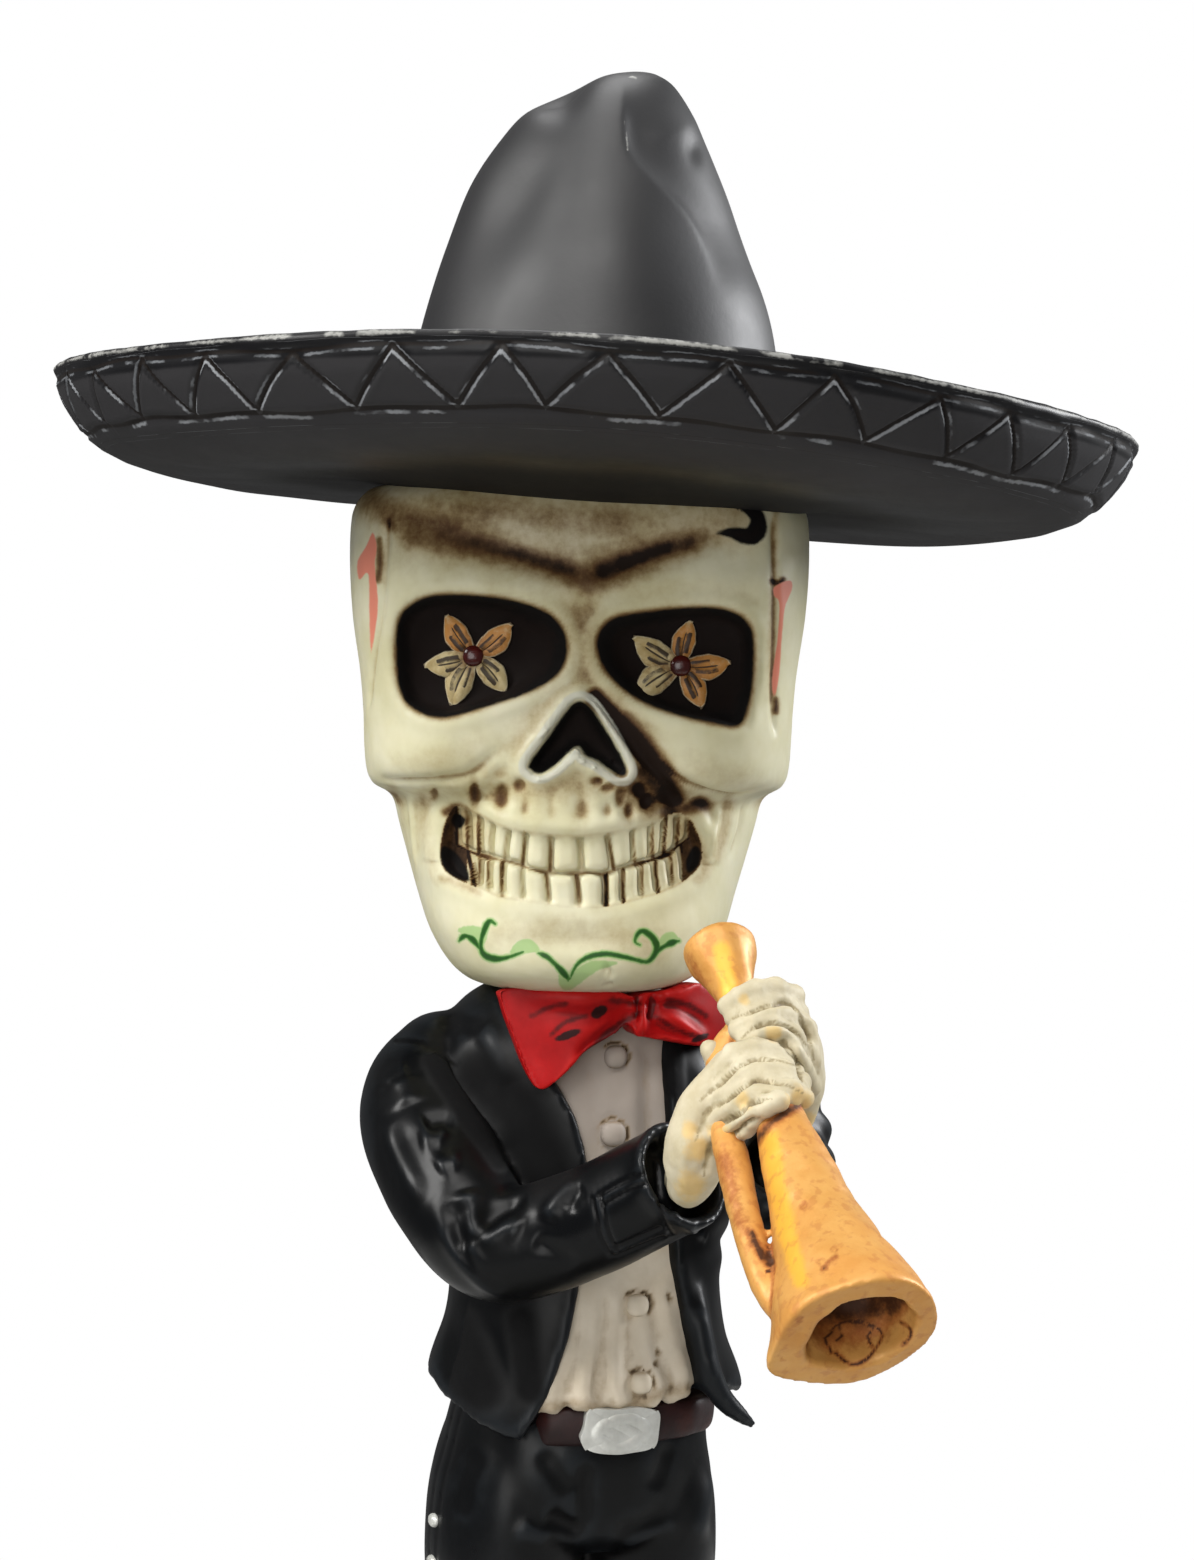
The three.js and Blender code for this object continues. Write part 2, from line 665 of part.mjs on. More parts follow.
function leg(side) {
  const rings = [
    [6.6 * side, 0, 4.6, 5.9, 6.2],
    [6.6 * side, 0, 8, 5.6, 5.9],
    [6.4 * side, -0.2, 18, 5.3, 5.6],
    [6.3 * side, 0, 36, 6.6, 8],
    [6.2 * side, 0, 42, 6.9, 9.2],
  ];
  const column = skin(rings.map(([x, y, z, half, deep]) => levelRing({
    z: baseHeight + z * bodyShare,
    x: x * bodyShare,
    y: y * bodyShare,
    half: half * bodyShare,
    front: deep * bodyShare,
    back: deep * bodyShare,
    power: 2.2,
    count: 12,
  })));
  const boot = limb(limbStops([
    { at: [6.8 * side, 3.4, 3.2], wide: 4.2, deep: 3.2 },
    { at: [7.0 * side, -2.5, 3], wide: 4.4, deep: 3 },
    { at: [7.6 * side, -8.4, 2.2], wide: 4.0, deep: 2.3 },
  ]), { sides: 8, steps: 1 });
  const sole = block(onBody(7.2 * side, -2.6, 0.3), [8 * bodyShare, 15 * bodyShare, 1.6]);
  return joinAll([column, boot, sole]);
}

function hips() {
  const rings = [
    [39, 8.5, 7.4, 7.4],
    [41, 12.9, 9.6, 9.4],
    [47.2, 12.3, 10.2, 9.4],
    [48.6, 11.6, 9.6, 8.8],
  ];
  return skin(rings.map(([z, half, front, back]) => levelRing({
    z: baseHeight + z * bodyShare,
    half: half * bodyShare,
    front: front * bodyShare,
    back: back * bodyShare,
    power: 2.4,
    count: 16,
  })));
}

function base() {
  return turned([
    [0, 0], [baseRadius, 0], [baseRadius, baseHeight - baseBevel], [baseRadius - baseBevel, baseHeight], [0, baseHeight],
  ], 30);
}

function neck() {
  const top = chinLevel + neckSeatDepth - neckGap;
  const start = baseHeight + 80 * bodyShare;
  return turned([[0, start], [neckRadius, start], [neckRadius, top], [0, top]], 16);
}

function body() {
  const whole = joinAll([
    base(), leg(-1), leg(1), hips(), torso(), jacket(), sleeve('right'), sleeve('left'), belt(), bowTie(),
    trumpet(), hand('right'), hand('left'), neck(), ...buttons(),
  ]);
  return settle(toGeometry(whole));
}

// The two castings

const group = new THREE.Group();

const bodyMaterial = new THREE.MeshStandardMaterial({ color: 0x1d2124, roughness: 0.35, metalness: 0 });
const bodyMesh = new THREE.Mesh(body(), bodyMaterial);
bodyMesh.name = 'body_with_base';
group.add(bodyMesh);

const headMaterial = new THREE.MeshStandardMaterial({ color: 0xd8d3b0, roughness: 0.3, metalness: 0 });
const headMesh = new THREE.Mesh(head(), headMaterial);
headMesh.name = 'head_with_sombrero';
headMesh.rotation.z = radians(headYaw);
headMesh.position.z = chinLevel;
group.add(headMesh);

export default group;
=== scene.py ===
import math

import bpy
import numpy as np
from mathutils import Matrix, Vector
from mathutils.bvhtree import BVHTree


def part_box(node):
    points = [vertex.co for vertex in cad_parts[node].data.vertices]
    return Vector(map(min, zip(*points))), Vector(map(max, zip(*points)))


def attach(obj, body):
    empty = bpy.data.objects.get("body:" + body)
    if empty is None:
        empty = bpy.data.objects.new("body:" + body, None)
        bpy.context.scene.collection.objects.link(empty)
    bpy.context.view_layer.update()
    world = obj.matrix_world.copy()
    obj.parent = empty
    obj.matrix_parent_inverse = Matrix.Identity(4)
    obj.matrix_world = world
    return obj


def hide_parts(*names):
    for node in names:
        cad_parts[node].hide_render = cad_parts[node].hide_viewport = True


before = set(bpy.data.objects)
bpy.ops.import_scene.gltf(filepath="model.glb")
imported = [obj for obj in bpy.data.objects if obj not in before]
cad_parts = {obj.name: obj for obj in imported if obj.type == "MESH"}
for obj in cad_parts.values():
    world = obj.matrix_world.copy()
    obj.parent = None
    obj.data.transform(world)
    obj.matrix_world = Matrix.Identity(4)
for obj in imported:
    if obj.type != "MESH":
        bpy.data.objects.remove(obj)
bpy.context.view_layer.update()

# Lengths are millimetres and angles degrees until place() turns a piece to metres.
figure = {
    "chinLevel": round(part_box("head_with_sombrero")[0].z * 1000, 1),
    "baseHeight": 4.5,
    "headYaw": -20,
    "skullRoll": 0.6,
    "skullShift": -0.6,
    "hatRoll": 4.2,
    "hatShift": 2,
    "rimLevel": 52.8,  # above the chin
}

photo = {
    "centre": (597, 780),
    "focus": 3410,
    "tall": 1560,
    "eyeSide": 1.36,
    "eyeBack": 310,
    "eyeHeight": 110.6,
    "azimuth": -20,
    "perMm": 11.65,  # pixels to the millimetre on the face
}

azimuth = math.radians(photo["azimuth"])
rightWay = np.array((math.cos(azimuth), math.sin(azimuth), 0))
awayWay = np.array((-math.sin(azimuth), math.cos(azimuth), 0))
eye = rightWay * photo["eyeSide"] - awayWay * photo["eyeBack"] + np.array((0, 0, photo["eyeHeight"]))


# Camera, light and stage

def setUpStudio():
    sensor = 36
    bpy.ops.object.camera_add(
        location=Vector(eye) * 0.001,
        rotation=(math.radians(90), 0, azimuth),
    )
    camera = bpy.context.active_object
    camera.name = "camera"
    camera.data.sensor_width = sensor
    camera.data.lens = sensor * photo["focus"] / photo["tall"]
    camera.data.clip_start = 0.01
    bpy.context.scene.camera = camera
    bpy.context.scene.view_settings.view_transform = "Standard"

    # name, place, size, watts, colour
    lamps = [
        ("leftBox", (-0.56, -0.02, 0.46), 0.26, 3.4, (1, 0.99, 0.97)),
        ("keyLight", (-0.24, -0.44, 0.72), 0.5, 4.9, (1, 0.985, 0.96)),
        ("frontLight", (-0.42, -0.68, 0.15), 0.5, 2.4, (1, 0.99, 0.97)),
        ("rightBox", (0.55, -0.02, 0.3), 0.24, 3.8, (0.97, 0.98, 1)),
        ("topLight", (0.05, 0.2, 0.85), 0.5, 3.2, (1, 1, 1)),
    ]
    target = Vector((0, 0, 0.105))
    for name, spot, size, power, colour in lamps:
        bpy.ops.object.light_add(type="AREA", location=spot)
        lamp = bpy.context.active_object
        lamp.name = name
        lamp.data.shape = "DISK"
        lamp.data.size = size
        lamp.data.energy = power
        lamp.data.color = colour
        lamp.rotation_euler = (target - Vector(spot)).to_track_quat("-Z", "Y").to_euler()

    # the backdrop is white; what it throws back on the figure is weaker
    world = bpy.data.worlds.new("paleStudio")
    world.use_nodes = True
    backdrop = world.node_tree.nodes["Background"]
    backdrop.inputs["Color"].default_value = (1, 1, 1, 1)
    seen = world.node_tree.nodes.new("ShaderNodeLightPath")
    level = world.node_tree.nodes.new("ShaderNodeMapRange")
    level.inputs["To Min"].default_value = 0.13
    world.node_tree.links.new(seen.outputs["Is Camera Ray"], level.inputs["Value"])
    world.node_tree.links.new(level.outputs["Result"], backdrop.inputs["Strength"])
    bpy.context.scene.world = world

    bpy.ops.mesh.primitive_cylinder_add(vertices=128, radius=0.16, depth=0.004, location=(0, 0, -0.002))
    floor = bpy.context.active_object
    floor.name = "floor"
    paint = bpy.data.materials.new("pale_matt_board")
    paint.use_nodes = True
    paint.node_tree.nodes["Principled BSDF"].inputs["Base Color"].default_value = (0.4, 0.4, 0.39, 1)
    paint.node_tree.nodes["Principled BSDF"].inputs["Roughness"].default_value = 0.8
    floor.data.materials.append(paint)
    print("studio ready")


# Small helpers for meshes

def only(obj):
    bpy.ops.object.select_all(action="DESELECT")
    obj.select_set(True)
    bpy.context.view_layer.objects.active = obj


def modify(obj, kind, **settings):
    only(obj)
    modifier = obj.modifiers.new(kind.title(), kind)
    for name, value in settings.items():
        setattr(modifier, name, value)
    bpy.ops.object.modifier_apply(modifier=modifier.name)


def grid(name, x, y):
    bpy.ops.mesh.primitive_grid_add(x_subdivisions=x, y_subdivisions=y, size=2, location=(0, 0, 0))
    obj = bpy.context.active_object
    obj.name = name
    return obj


def spotsOf(obj, what="co"):
    values = np.empty(len(obj.data.vertices) * 3)
    obj.data.vertices.foreach_get(what, values)
    return values.reshape(-1, 3)


def moveTo(obj, spots):
    obj.data.vertices.foreach_set("co", np.asarray(spots, np.float32).ravel())
    obj.data.update()


def push(obj, amount):
    # every vertex moves along its normal, outwards above zero
    moveTo(obj, spotsOf(obj) + spotsOf(obj, "normal") * amount[:, None])


def ease(value, low, high):
    share = np.clip((value - low) / (high - low), 0, 1)
    return share * share * (3 - 2 * share)


def bell(distance, width):
    return np.exp(-((distance / width) ** 2))


def wander(spots, size, seed=0):
    # smooth unevenness between -1 and 1, about as coarse as size
    a = spots * (2.4 / size) + seed * 1.7
    x, y, z = a[:, 0], a[:, 1], a[:, 2]
    return (
        np.sin(x + 1.3 * np.sin(0.7 * y + seed)) * np.cos(1.1 * y - 0.9 * np.sin(0.8 * z))
        + np.sin(1.2 * z + 0.9 * np.sin(1.1 * x)) * np.cos(0.6 * x + y)
    ) / 2


def splineAt(points, share, closed=False):
    # Catmull-Rom line through the points
    points = np.asarray(points, float)
    count = len(points)
    spans = count if closed else count - 1
    t = np.clip(np.asarray(share, float), 0, 1) * spans
    k = np.minimum(t.astype(int), spans - 1)
    u = (t - k)[:, None]
    pick = (lambda i: points[i % count]) if closed else (lambda i: points[np.clip(i, 0, count - 1)])
    a, b, c, d = pick(k - 1), pick(k), pick(k + 1), pick(k + 2)
    return 0.5 * (2 * b + (c - a) * u + (2 * a - 5 * b + 4 * c - d) * u**2 + (3 * b - a - 3 * c + d) * u**3)


def spline(points, count, closed=False):
    return splineAt(points, np.linspace(0, 1, count, endpoint=not closed), closed)


def toPath(spots, path, reach=None):
    # distance to a line of points, and how far along it; points farther off than reach get a large distance
    path = np.asarray(path, float)
    near = np.ones(len(spots), bool)
    if reach is not None:
        near = ((spots > path.min(axis=0) - reach) & (spots < path.max(axis=0) + reach)).all(axis=1)
    points = spots[near]
    best = np.full(len(points), 1e3)
    along = np.zeros(len(points))
    for i in range(len(path) - 1):
        step = path[i + 1] - path[i]
        t = np.clip(((points - path[i]) @ step) / max(step @ step, 1e-12), 0, 1)
        gap = np.linalg.norm(points - path[i] - t[:, None] * step, axis=1)
        closer = gap < best
        best[closer] = gap[closer]
        along[closer] = (i + t[closer]) / (len(path) - 1)
    allGaps = np.full(len(spots), 1e3)
    allAlong = np.zeros(len(spots))
    allGaps[near] = best
    allAlong[near] = along
    return allGaps, allAlong


def toSpot(seen, x, y, wide=1, tall=1):
    # distance to a pixel, in shares of an oval's half width and half height
    return np.hypot((seen[:, 0] - x) / wide, (seen[:, 1] - y) / tall)


def smear(seen, strokes, count):
    # how dark it is along lines of the photograph: pixels, half width and strength of each
    dark = np.zeros(len(seen))
    for line, wide, strength in strokes:
        dark = np.maximum(dark, strength * bell(toPath(seen, spline(line, count))[0], wide))
    return dark


def toOutline(spots, outline, reach=None):
    # distance to a closed outline, below zero inside it
    loop = np.vstack([outline, outline[:1]])
    gap, _ = toPath(spots, loop, reach)
    inside = np.zeros(len(spots), bool)
    x, y = spots[:, 0], spots[:, 1]
    for (ax, ay), (bx, by) in zip(loop[:-1], loop[1:]):
        if ay == by:
            continue
        crosses = ((ay > y) != (by > y)) & (x < (bx - ax) * (y - ay) / (by - ay) + ax)
        inside ^= crosses
    return np.where(inside, -gap, gap)


def ball(name, around, tall, shape):
    # a grid rolled up and closed at both poles; shape places a vertex by its turn and its rise
    obj = grid(name, around, tall)
    flat = spotsOf(obj)
    turn = np.round((flat[:, 0] + 1) / 2 * around) % around / around * 2 * np.pi
    rise = np.round((flat[:, 1] + 1) / 2 * tall) / tall
    moveTo(obj, shape(turn, rise))
    bpy.ops.object.mode_set(mode="EDIT")
    bpy.ops.mesh.select_all(action="SELECT")
    bpy.ops.mesh.remove_doubles(threshold=0.00001)
    bpy.ops.object.mode_set(mode="OBJECT")
    return obj


def tower(name, rings, around, tall, cap=0.1):
    # level rings: z, half width, front, back and, where given, front power, back power and x
    table = np.array([(*ring, 2.4, 2.4, 0)[:7] for ring in rings], float)

    def shape(turn, rise):
        body = np.clip((rise - cap) / (1 - 2 * cap), 0, 1)
        grow = np.clip(np.minimum(rise, 1 - rise) / cap, 0, 1)
        ring = splineAt(table, body)
        c, s = np.cos(turn), np.sin(turn)
        isFront = s < 0
        power = np.where(isFront, ring[:, 4], ring[:, 5])
        reach = np.where(isFront, ring[:, 2], ring[:, 3])
        x = np.sign(c) * np.abs(c) ** (2 / power) * ring[:, 1] * grow
        y = np.sign(s) * np.abs(s) ** (2 / power) * reach * grow
        return np.stack([x + ring[:, 6], y, ring[:, 0]], axis=1)

    return ball(name, around, tall, shape)


def limb(name, stops, around=24, tall=48, cap=0.12, lean=(0, 0, 1), cuff=0.0):
    # a tube through stops: x, y, z, half width and, if it differs, half depth; its end is round, or
    # hollow like a cuff
    table = np.array([list(stop) if len(stop) == 5 else [*stop, stop[3]] for stop in stops], float)
    rise = np.linspace(0, 1, tall + 1)
    body = np.clip((rise - cap) / (1 - 2 * cap), 0, 1)
    line = splineAt(table, body)
    way = splineAt(table, body + 0.01)[:, :3] - splineAt(table, body - 0.01)[:, :3]
    way /= np.linalg.norm(way, axis=1)[:, None]
    side = np.array(lean, float)
    sides = []
    for step in way:
        side = side - side @ step * step
        side = side / np.linalg.norm(side)
        sides.append(side)
    sides = np.array(sides)
    others = np.cross(way, sides)
    tip = np.clip(np.maximum(cap - rise, rise - 1 + cap) / cap, 0, 1) * (np.pi / 2)
    centre = line[:, :3] + way * (np.sin(tip) * np.sign(rise - 0.5) * line[:, 3])[:, None]
    wide, deep = line[:, 3] * np.cos(tip), line[:, 4] * np.cos(tip)
    if cuff:
        late = np.clip((rise - 1 + cap) / cap, 0, 1)
        inside = rise > 1 - cap
        share = np.interp(late, [0, 0.12, 0.28, 0.7, 1], [1, 0.97, 0.8, 0.7, 0])
        back = np.interp(late, [0, 0.12, 0.28, 0.7, 1], [0, -0.25, 0, cuff, cuff])
        centre[inside] = (line[:, :3] - way * back[:, None])[inside]
        wide[inside] = (line[:, 3] * share)[inside]
        deep[inside] = (line[:, 4] * share)[inside]

    def shape(turn, rise):
        row = np.round(rise * tall).astype(int)
        return (
            centre[row]
            + sides[row] * (np.cos(turn) * deep[row])[:, None]
            + others[row] * (np.sin(turn) * wide[row])[:, None]
        )

    return ball(name, around, tall, shape)


def plug(name, outline, low, high, smooth=0):
    # an outline in x and z, made a block from y = low to y = high
    points = spline(outline, smooth, True) if smooth else np.array(outline, float)
    bpy.ops.mesh.primitive_circle_add(vertices=len(points), fill_type="NGON", location=(0, 0, 0))
    obj = bpy.context.active_object
    obj.name = name
    moveTo(obj, np.stack([points[:, 0], np.full(len(points), low), points[:, 1]], axis=1))
    bpy.ops.object.mode_set(mode="EDIT")
    bpy.ops.mesh.select_all(action="SELECT")
    bpy.ops.mesh.extrude_region_move(TRANSFORM_OT_translate={"value": (0, high - low, 0)})
    bpy.ops.mesh.select_all(action="SELECT")
    bpy.ops.mesh.normals_make_consistent(inside=False)
    bpy.ops.object.mode_set(mode="OBJECT")
    return obj


def joined(name, parts):
    only(parts[0])
    for part in parts:
        part.select_set(True)
    bpy.ops.object.join()
    obj = bpy.context.active_object
    obj.name = name
    return obj


def weld(name, parts, voxel):
    obj = joined(name, parts) if len(parts) > 1 else parts[0]
    obj.name = name
    remesh(obj, voxel)
    return obj


def remesh(obj, voxel):
    modify(obj, "REMESH", mode="VOXEL", voxel_size=voxel, use_smooth_shade=True)


def relax(obj, rounds, share=0.5):
    modify(obj, "SMOOTH", factor=share, iterations=rounds)


def hollows(obj, rounds):
    # how far each vertex lies below the smoothed surface, above zero in a crease
    edges = np.empty(len(obj.data.edges) * 2, np.int64)
    obj.data.edges.foreach_get("vertices", edges)
    a, b = edges[0::2], edges[1::2]
    count = len(obj.data.vertices)
    links = np.bincount(a, minlength=count) + np.bincount(b, minlength=count)
    start = spotsOf(obj)
    spots = start.copy()
    for _ in range(rounds):
        mean = np.stack(
            [
                np.bincount(a, spots[b, k], count) + np.bincount(b, spots[a, k], count)
                for k in range(3)
            ],
            axis=1,
        ) / np.maximum(links, 1)[:, None]
        spots = 0.4 * spots + 0.6 * mean
    return np.einsum("ij,ij->i", spots - start, spotsOf(obj, "normal"))


def refine(obj, chosen):
    # the faces whose vertices are all chosen are cut in four
    only(obj)
    bpy.ops.object.mode_set(mode="EDIT")
    bpy.ops.mesh.select_all(action="DESELECT")
    bpy.ops.object.mode_set(mode="OBJECT")
    obj.data.vertices.foreach_set("select", chosen)
    loops = np.empty(len(obj.data.loops), np.int32)
    obj.data.loops.foreach_get("vertex_index", loops)
    starts = np.empty(len(obj.data.polygons), np.int32)
    obj.data.polygons.foreach_get("loop_start", starts)
    picked = np.minimum.reduceat(chosen[loops].astype(np.int8), starts).astype(bool)
    obj.data.polygons.foreach_set("select", picked)
    bpy.ops.object.mode_set(mode="EDIT")
    bpy.ops.mesh.select_mode(type="FACE")
    bpy.ops.mesh.subdivide(number_cuts=1, smoothness=0)
    bpy.ops.mesh.select_mode(type="VERT")
    bpy.ops.object.mode_set(mode="OBJECT")


def note(obj, name, values):
    # an attribute that the paint reads
    attribute = obj.data.attributes.get(name) or obj.data.attributes.new(name, "FLOAT", "POINT")
    attribute.data.foreach_set("value", np.asarray(values, np.float32))


def moved(where, spots):
    return spots @ np.array(where.to_3x3()).T + np.array(where.translation)


def inPhoto(spots, where):
    # where points of a piece fall in the photograph, in its pixels
    spots = moved(where, spots)
    depth = spots @ awayWay + photo["eyeBack"]
    x = photo["centre"][0] + photo["focus"] * (spots @ rightWay - photo["eyeSide"]) / depth
    y = photo["centre"][1] - photo["focus"] * (spots[:, 2] - photo["eyeHeight"]) / depth
    return np.stack([x, y], axis=1)


def fromPhoto(x, y, away):
    # the point of the body that lies behind a pixel of the photograph, so far beyond the axis of the figure
    depth = away + photo["eyeBack"]
    side = photo["eyeSide"] + (x - photo["centre"][0]) * depth / photo["focus"]
    level = photo["eyeHeight"] - (y - photo["centre"][1]) * depth / photo["focus"]
    spot = rightWay * side + awayWay * away
    return (spot[0], spot[1], level - figure["baseHeight"])


def traced(stops):
    # stops for a limb drawn over the photograph: x, y, distance beyond the axis, then their widths
    return [(*fromPhoto(x, y, away), *widths) for x, y, away, *widths in stops]


def treeOf(obj):
    return BVHTree.FromObject(obj, bpy.context.evaluated_depsgraph_get())


def onto(tree, pixels, where):
    # points on a piece's surface, with their normals, that lie behind pixels of the photograph
    back = where.inverted()
    start = back @ Vector(eye)
    found = []
    for x, y in pixels:
        way = awayWay + rightWay * ((x - photo["centre"][0]) / photo["focus"])
        way = way - np.array((0, 0, (y - photo["centre"][1]) / photo["focus"]))
        hit, normal, _, _ = tree.ray_cast(start, back.to_3x3() @ Vector(way))
        if hit is not None:
            found.append((*hit, *normal))
    return np.array(found).reshape(-1, 6)


def draw(obj, where, lines):
    # creases (depth above zero) and ridges on a piece, behind lines in the photograph:
    # pixels, half width, depth, and the share of each end over which it fades
    tree = treeOf(obj)
    spots = spotsOf(obj)
    sink = np.zeros(len(spots))
    for pixels, width, depth, tip in lines:
        hits = onto(tree, spline(pixels, 24), where)[:, :3]
        if len(hits) < 12:
            continue
        gap, along = toPath(spots, spline(hits, 26), 3.5 * width)
        fade = ease(along, 0, tip) * ease(1 - along, 0, tip)
        sink += depth * fade * bell(gap, width)
    push(obj, -sink)


def place(obj, spot, node, material, smooth=None):
    obj.data.transform(Matrix.Scale(0.001, 4) @ spot)
    obj.data.materials.clear()
    obj.data.materials.append(material)
    only(obj)
    if smooth:
        bpy.ops.object.shade_smooth_by_angle(angle=math.radians(smooth))
    else:
        bpy.ops.object.shade_smooth()
    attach(obj, "root")
    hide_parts(node)
    print(f"{obj.name}: {sum(len(p.vertices) - 2 for p in obj.data.polygons)} triangles")


shiftBy = Matrix.Translation
headPlace = shiftBy((0, 0, figure["chinLevel"])) @ Matrix.Rotation(math.radians(figure["headYaw"]), 4, "Z")
skullPlace = (
    headPlace
    @ shiftBy((figure["skullShift"], 0, 0))
    @ Matrix.Rotation(math.radians(figure["skullRoll"]), 4, "Y")
)
hatPlace = (
    headPlace
    @ shiftBy((figure["skullShift"] + figure["hatShift"], 0, figure["rimLevel"]))
    @ Matrix.Rotation(math.radians(figure["hatRoll"]), 4, "Y")
)
bodyPlace = shiftBy((0, 0, figure["baseHeight"]))


# Paint

def tint(code):
    parts = [int(code[i : i + 2], 16) / 255 for i in (1, 3, 5)]
    return tuple(p / 12.92 if p <= 0.04045 else ((p + 0.055) / 1.055) ** 2.4 for p in parts) + (1,)


def add(material, kind, inputs=None, **settings):
    node = material.node_tree.nodes.new("ShaderNode" + kind)
    for name, value in settings.items():
        setattr(node, name, value)
    for name, value in (inputs or {}).items():
        socket = next(s for s in node.inputs if name in (s.identifier, s.name))
        if isinstance(value, bpy.types.NodeSocket):
            material.node_tree.links.new(value, socket)
        else:
            socket.default_value = value
    return node


def layer(reads, begins, covers, colour, **more):
    # a layer of paint: the attribute it reads, and the values at which it begins and covers fully
    return {"reads": reads, "from": begins, "to": covers, "colour": colour, **more}


def paintOf(name, **finish):
    # hand-brushed paint: a mottled coat, then layers read from the piece's attributes
    material = bpy.data.materials.new(name)
    material.use_nodes = True
    shader = material.node_tree.nodes["Principled BSDF"]
    where = add(material, "TexCoord").outputs["Object"]
    broad = {"Vector": where, "Scale": 1000 / finish.get("mottle", 6), "Detail": 4.0, "Roughness": 0.6}
    mottle = add(material, "TexNoise", broad).outputs["Fac"]
    close = {"Vector": where, "Scale": 1000 / finish.get("grain", 0.7), "Detail": 3.0, "Roughness": 0.65}
    fine = add(material, "TexNoise", close).outputs["Fac"]
    share = add(material, "MapRange", {"Value": mottle, "From Min": 0.35, "From Max": 0.65}).outputs["Result"]
    coats = {"Factor_Float": share, "A_Color": tint(finish["coat"]), "B_Color": tint(finish["coatTwo"])}
    colour = add(material, "Mix", coats, data_type="RGBA").outputs[2]
    rough = finish["rough"]
    for over in finish.get("layers", []):
        read = add(material, "Attribute", attribute_name=over["reads"]).outputs["Fac"]
        # ragged and patchy: the break-up of a layer's edge, in the attribute's own unit
        for noise, reach in ((fine, over.get("ragged", 0.1)), (mottle, over.get("patchy", 0.0))):
            uneven = add(material, "Math", {"Value": noise, "Value_001": -0.5}, operation="ADD")
            sway = {"Value": uneven.outputs["Value"], "Value_001": reach * 2, "Value_002": read}
            read = add(material, "Math", sway, operation="MULTIPLY_ADD").outputs["Value"]
        if "about" in over:
            # the layer follows a line on the attribute, one value of it
            offset = add(material, "Math", {"Value": read, "Value_001": -over["about"]}, operation="ADD")
            gap = add(material, "Math", {"Value": offset.outputs["Value"]}, operation="ABSOLUTE")
            read = gap.outputs["Value"]
        cover = over.get("cover", 1.0)
        edge = {"Value": read, "From Min": over["from"], "From Max": over["to"], "To Max": cover}
        mask = add(material, "MapRange", edge, interpolation_type="SMOOTHSTEP").outputs["Result"]
        if "breaks" in over:
            size, low, high = over["breaks"]
            flecks = add(material, "TexNoise", {"Vector": where, "Scale": 1000 / size, "Detail": 3.0})
            gaps = {"Value": flecks.outputs["Fac"], "From Min": low, "From Max": high}
            kept = {"Value": mask, "Value_001": add(material, "MapRange", gaps).outputs["Result"]}
            mask = add(material, "Math", kept, operation="MULTIPLY").outputs["Value"]
        coats = {"Factor_Float": mask, "A_Color": colour, "B_Color": tint(over["colour"])}
        colour = add(material, "Mix", coats, data_type="RGBA").outputs[2]
        if "rough" in over:
            duller = {"Value": mask, "To Min": rough, "To Max": over["rough"]}
            rough = add(material, "MapRange", duller).outputs["Result"]
    wear = {"Value": share, "Value_001": finish.get("roughSpread", 0.12), "Value_002": rough}
    worn = add(material, "Math", wear, operation="MULTIPLY_ADD").outputs["Value"]
    dents = add(material, "Bump", {"Height": fine, "Strength": finish.get("bump", 0.2), "Distance": 0.00005})
    normal = dents.outputs["Normal"]
    waves = {"Height": mottle, "Strength": finish.get("swell", 0.2), "Distance": 0.0004, "Normal": normal}
    swell = add(material, "Bump", waves)
    links = material.node_tree.links
    links.new(colour, shader.inputs["Base Color"])
    links.new(worn, shader.inputs["Roughness"])
    links.new(swell.outputs["Normal"], shader.inputs["Normal"])
    shader.inputs["Metallic"].default_value = finish.get("metal", 0.0)
    shader.inputs["Specular IOR Level"].default_value = finish.get("shine", 0.5)
    shader.inputs["Subsurface Weight"].default_value = finish.get("soft", 0.0)
    shader.inputs["Subsurface Radius"].default_value = (1.0, 0.75, 0.45)
    shader.inputs["Subsurface Scale"].default_value = 0.0012
    return material


setUpStudio()


# Sombrero

hat = {
    "brimRadius": 49.15,
    "dish": 9.7,
    "wall": 1.7,
    "waveDip": 0.5,
    "waveLean": 0.38,
    "sideDip": 1.55,
    "backLift": 1.2,
    "browDip": 2.1,
    # radius share and level in millimetres under the rim plane, from the underside round to the dish
    "under": [
        (0, -8.4), (0.2, -8.4), (0.36, -8.3), (0.5, -8.4), (0.68, -8.5), (0.8, -8.2), (0.87, -7.4),
        (0.925, -5.9),
    ],
    "band": [(0.968, -3.3), (0.985, -1.6), (0.992, -0.7)],
    "rim": [(0.994, -0.15), (0.99, 0.14), (0.979, 0.12), (0.968, -0.25)],
    "dishFloor": [(0.93, -2.6), (0.87, -4.8), (0.78, -6.5), (0.64, -7.0), (0.5, -7.0), (0.43, -6.9)],
    "crownFoot": [(0.395, -6.3), (0.375, -5.2), (0.33, -5.0), (0.15, -5.4), (0, -5.6)],
    "around": 1260,
    "tall": 66,
    "peaksSeen": [-61, -50.2, -40.4, -29.6, -19.1, -8.7, 1.2, 12.3, 22.6, 34.5, 43.7, 53.8, 65.9],
    "peaksInAll": 34,
    # level of the lower incised line
    "lowLine": -5.75,
    "highLine": -1.05,
    "grooveWidth": 0.26,
    "grooveDepth": 0.34,
}


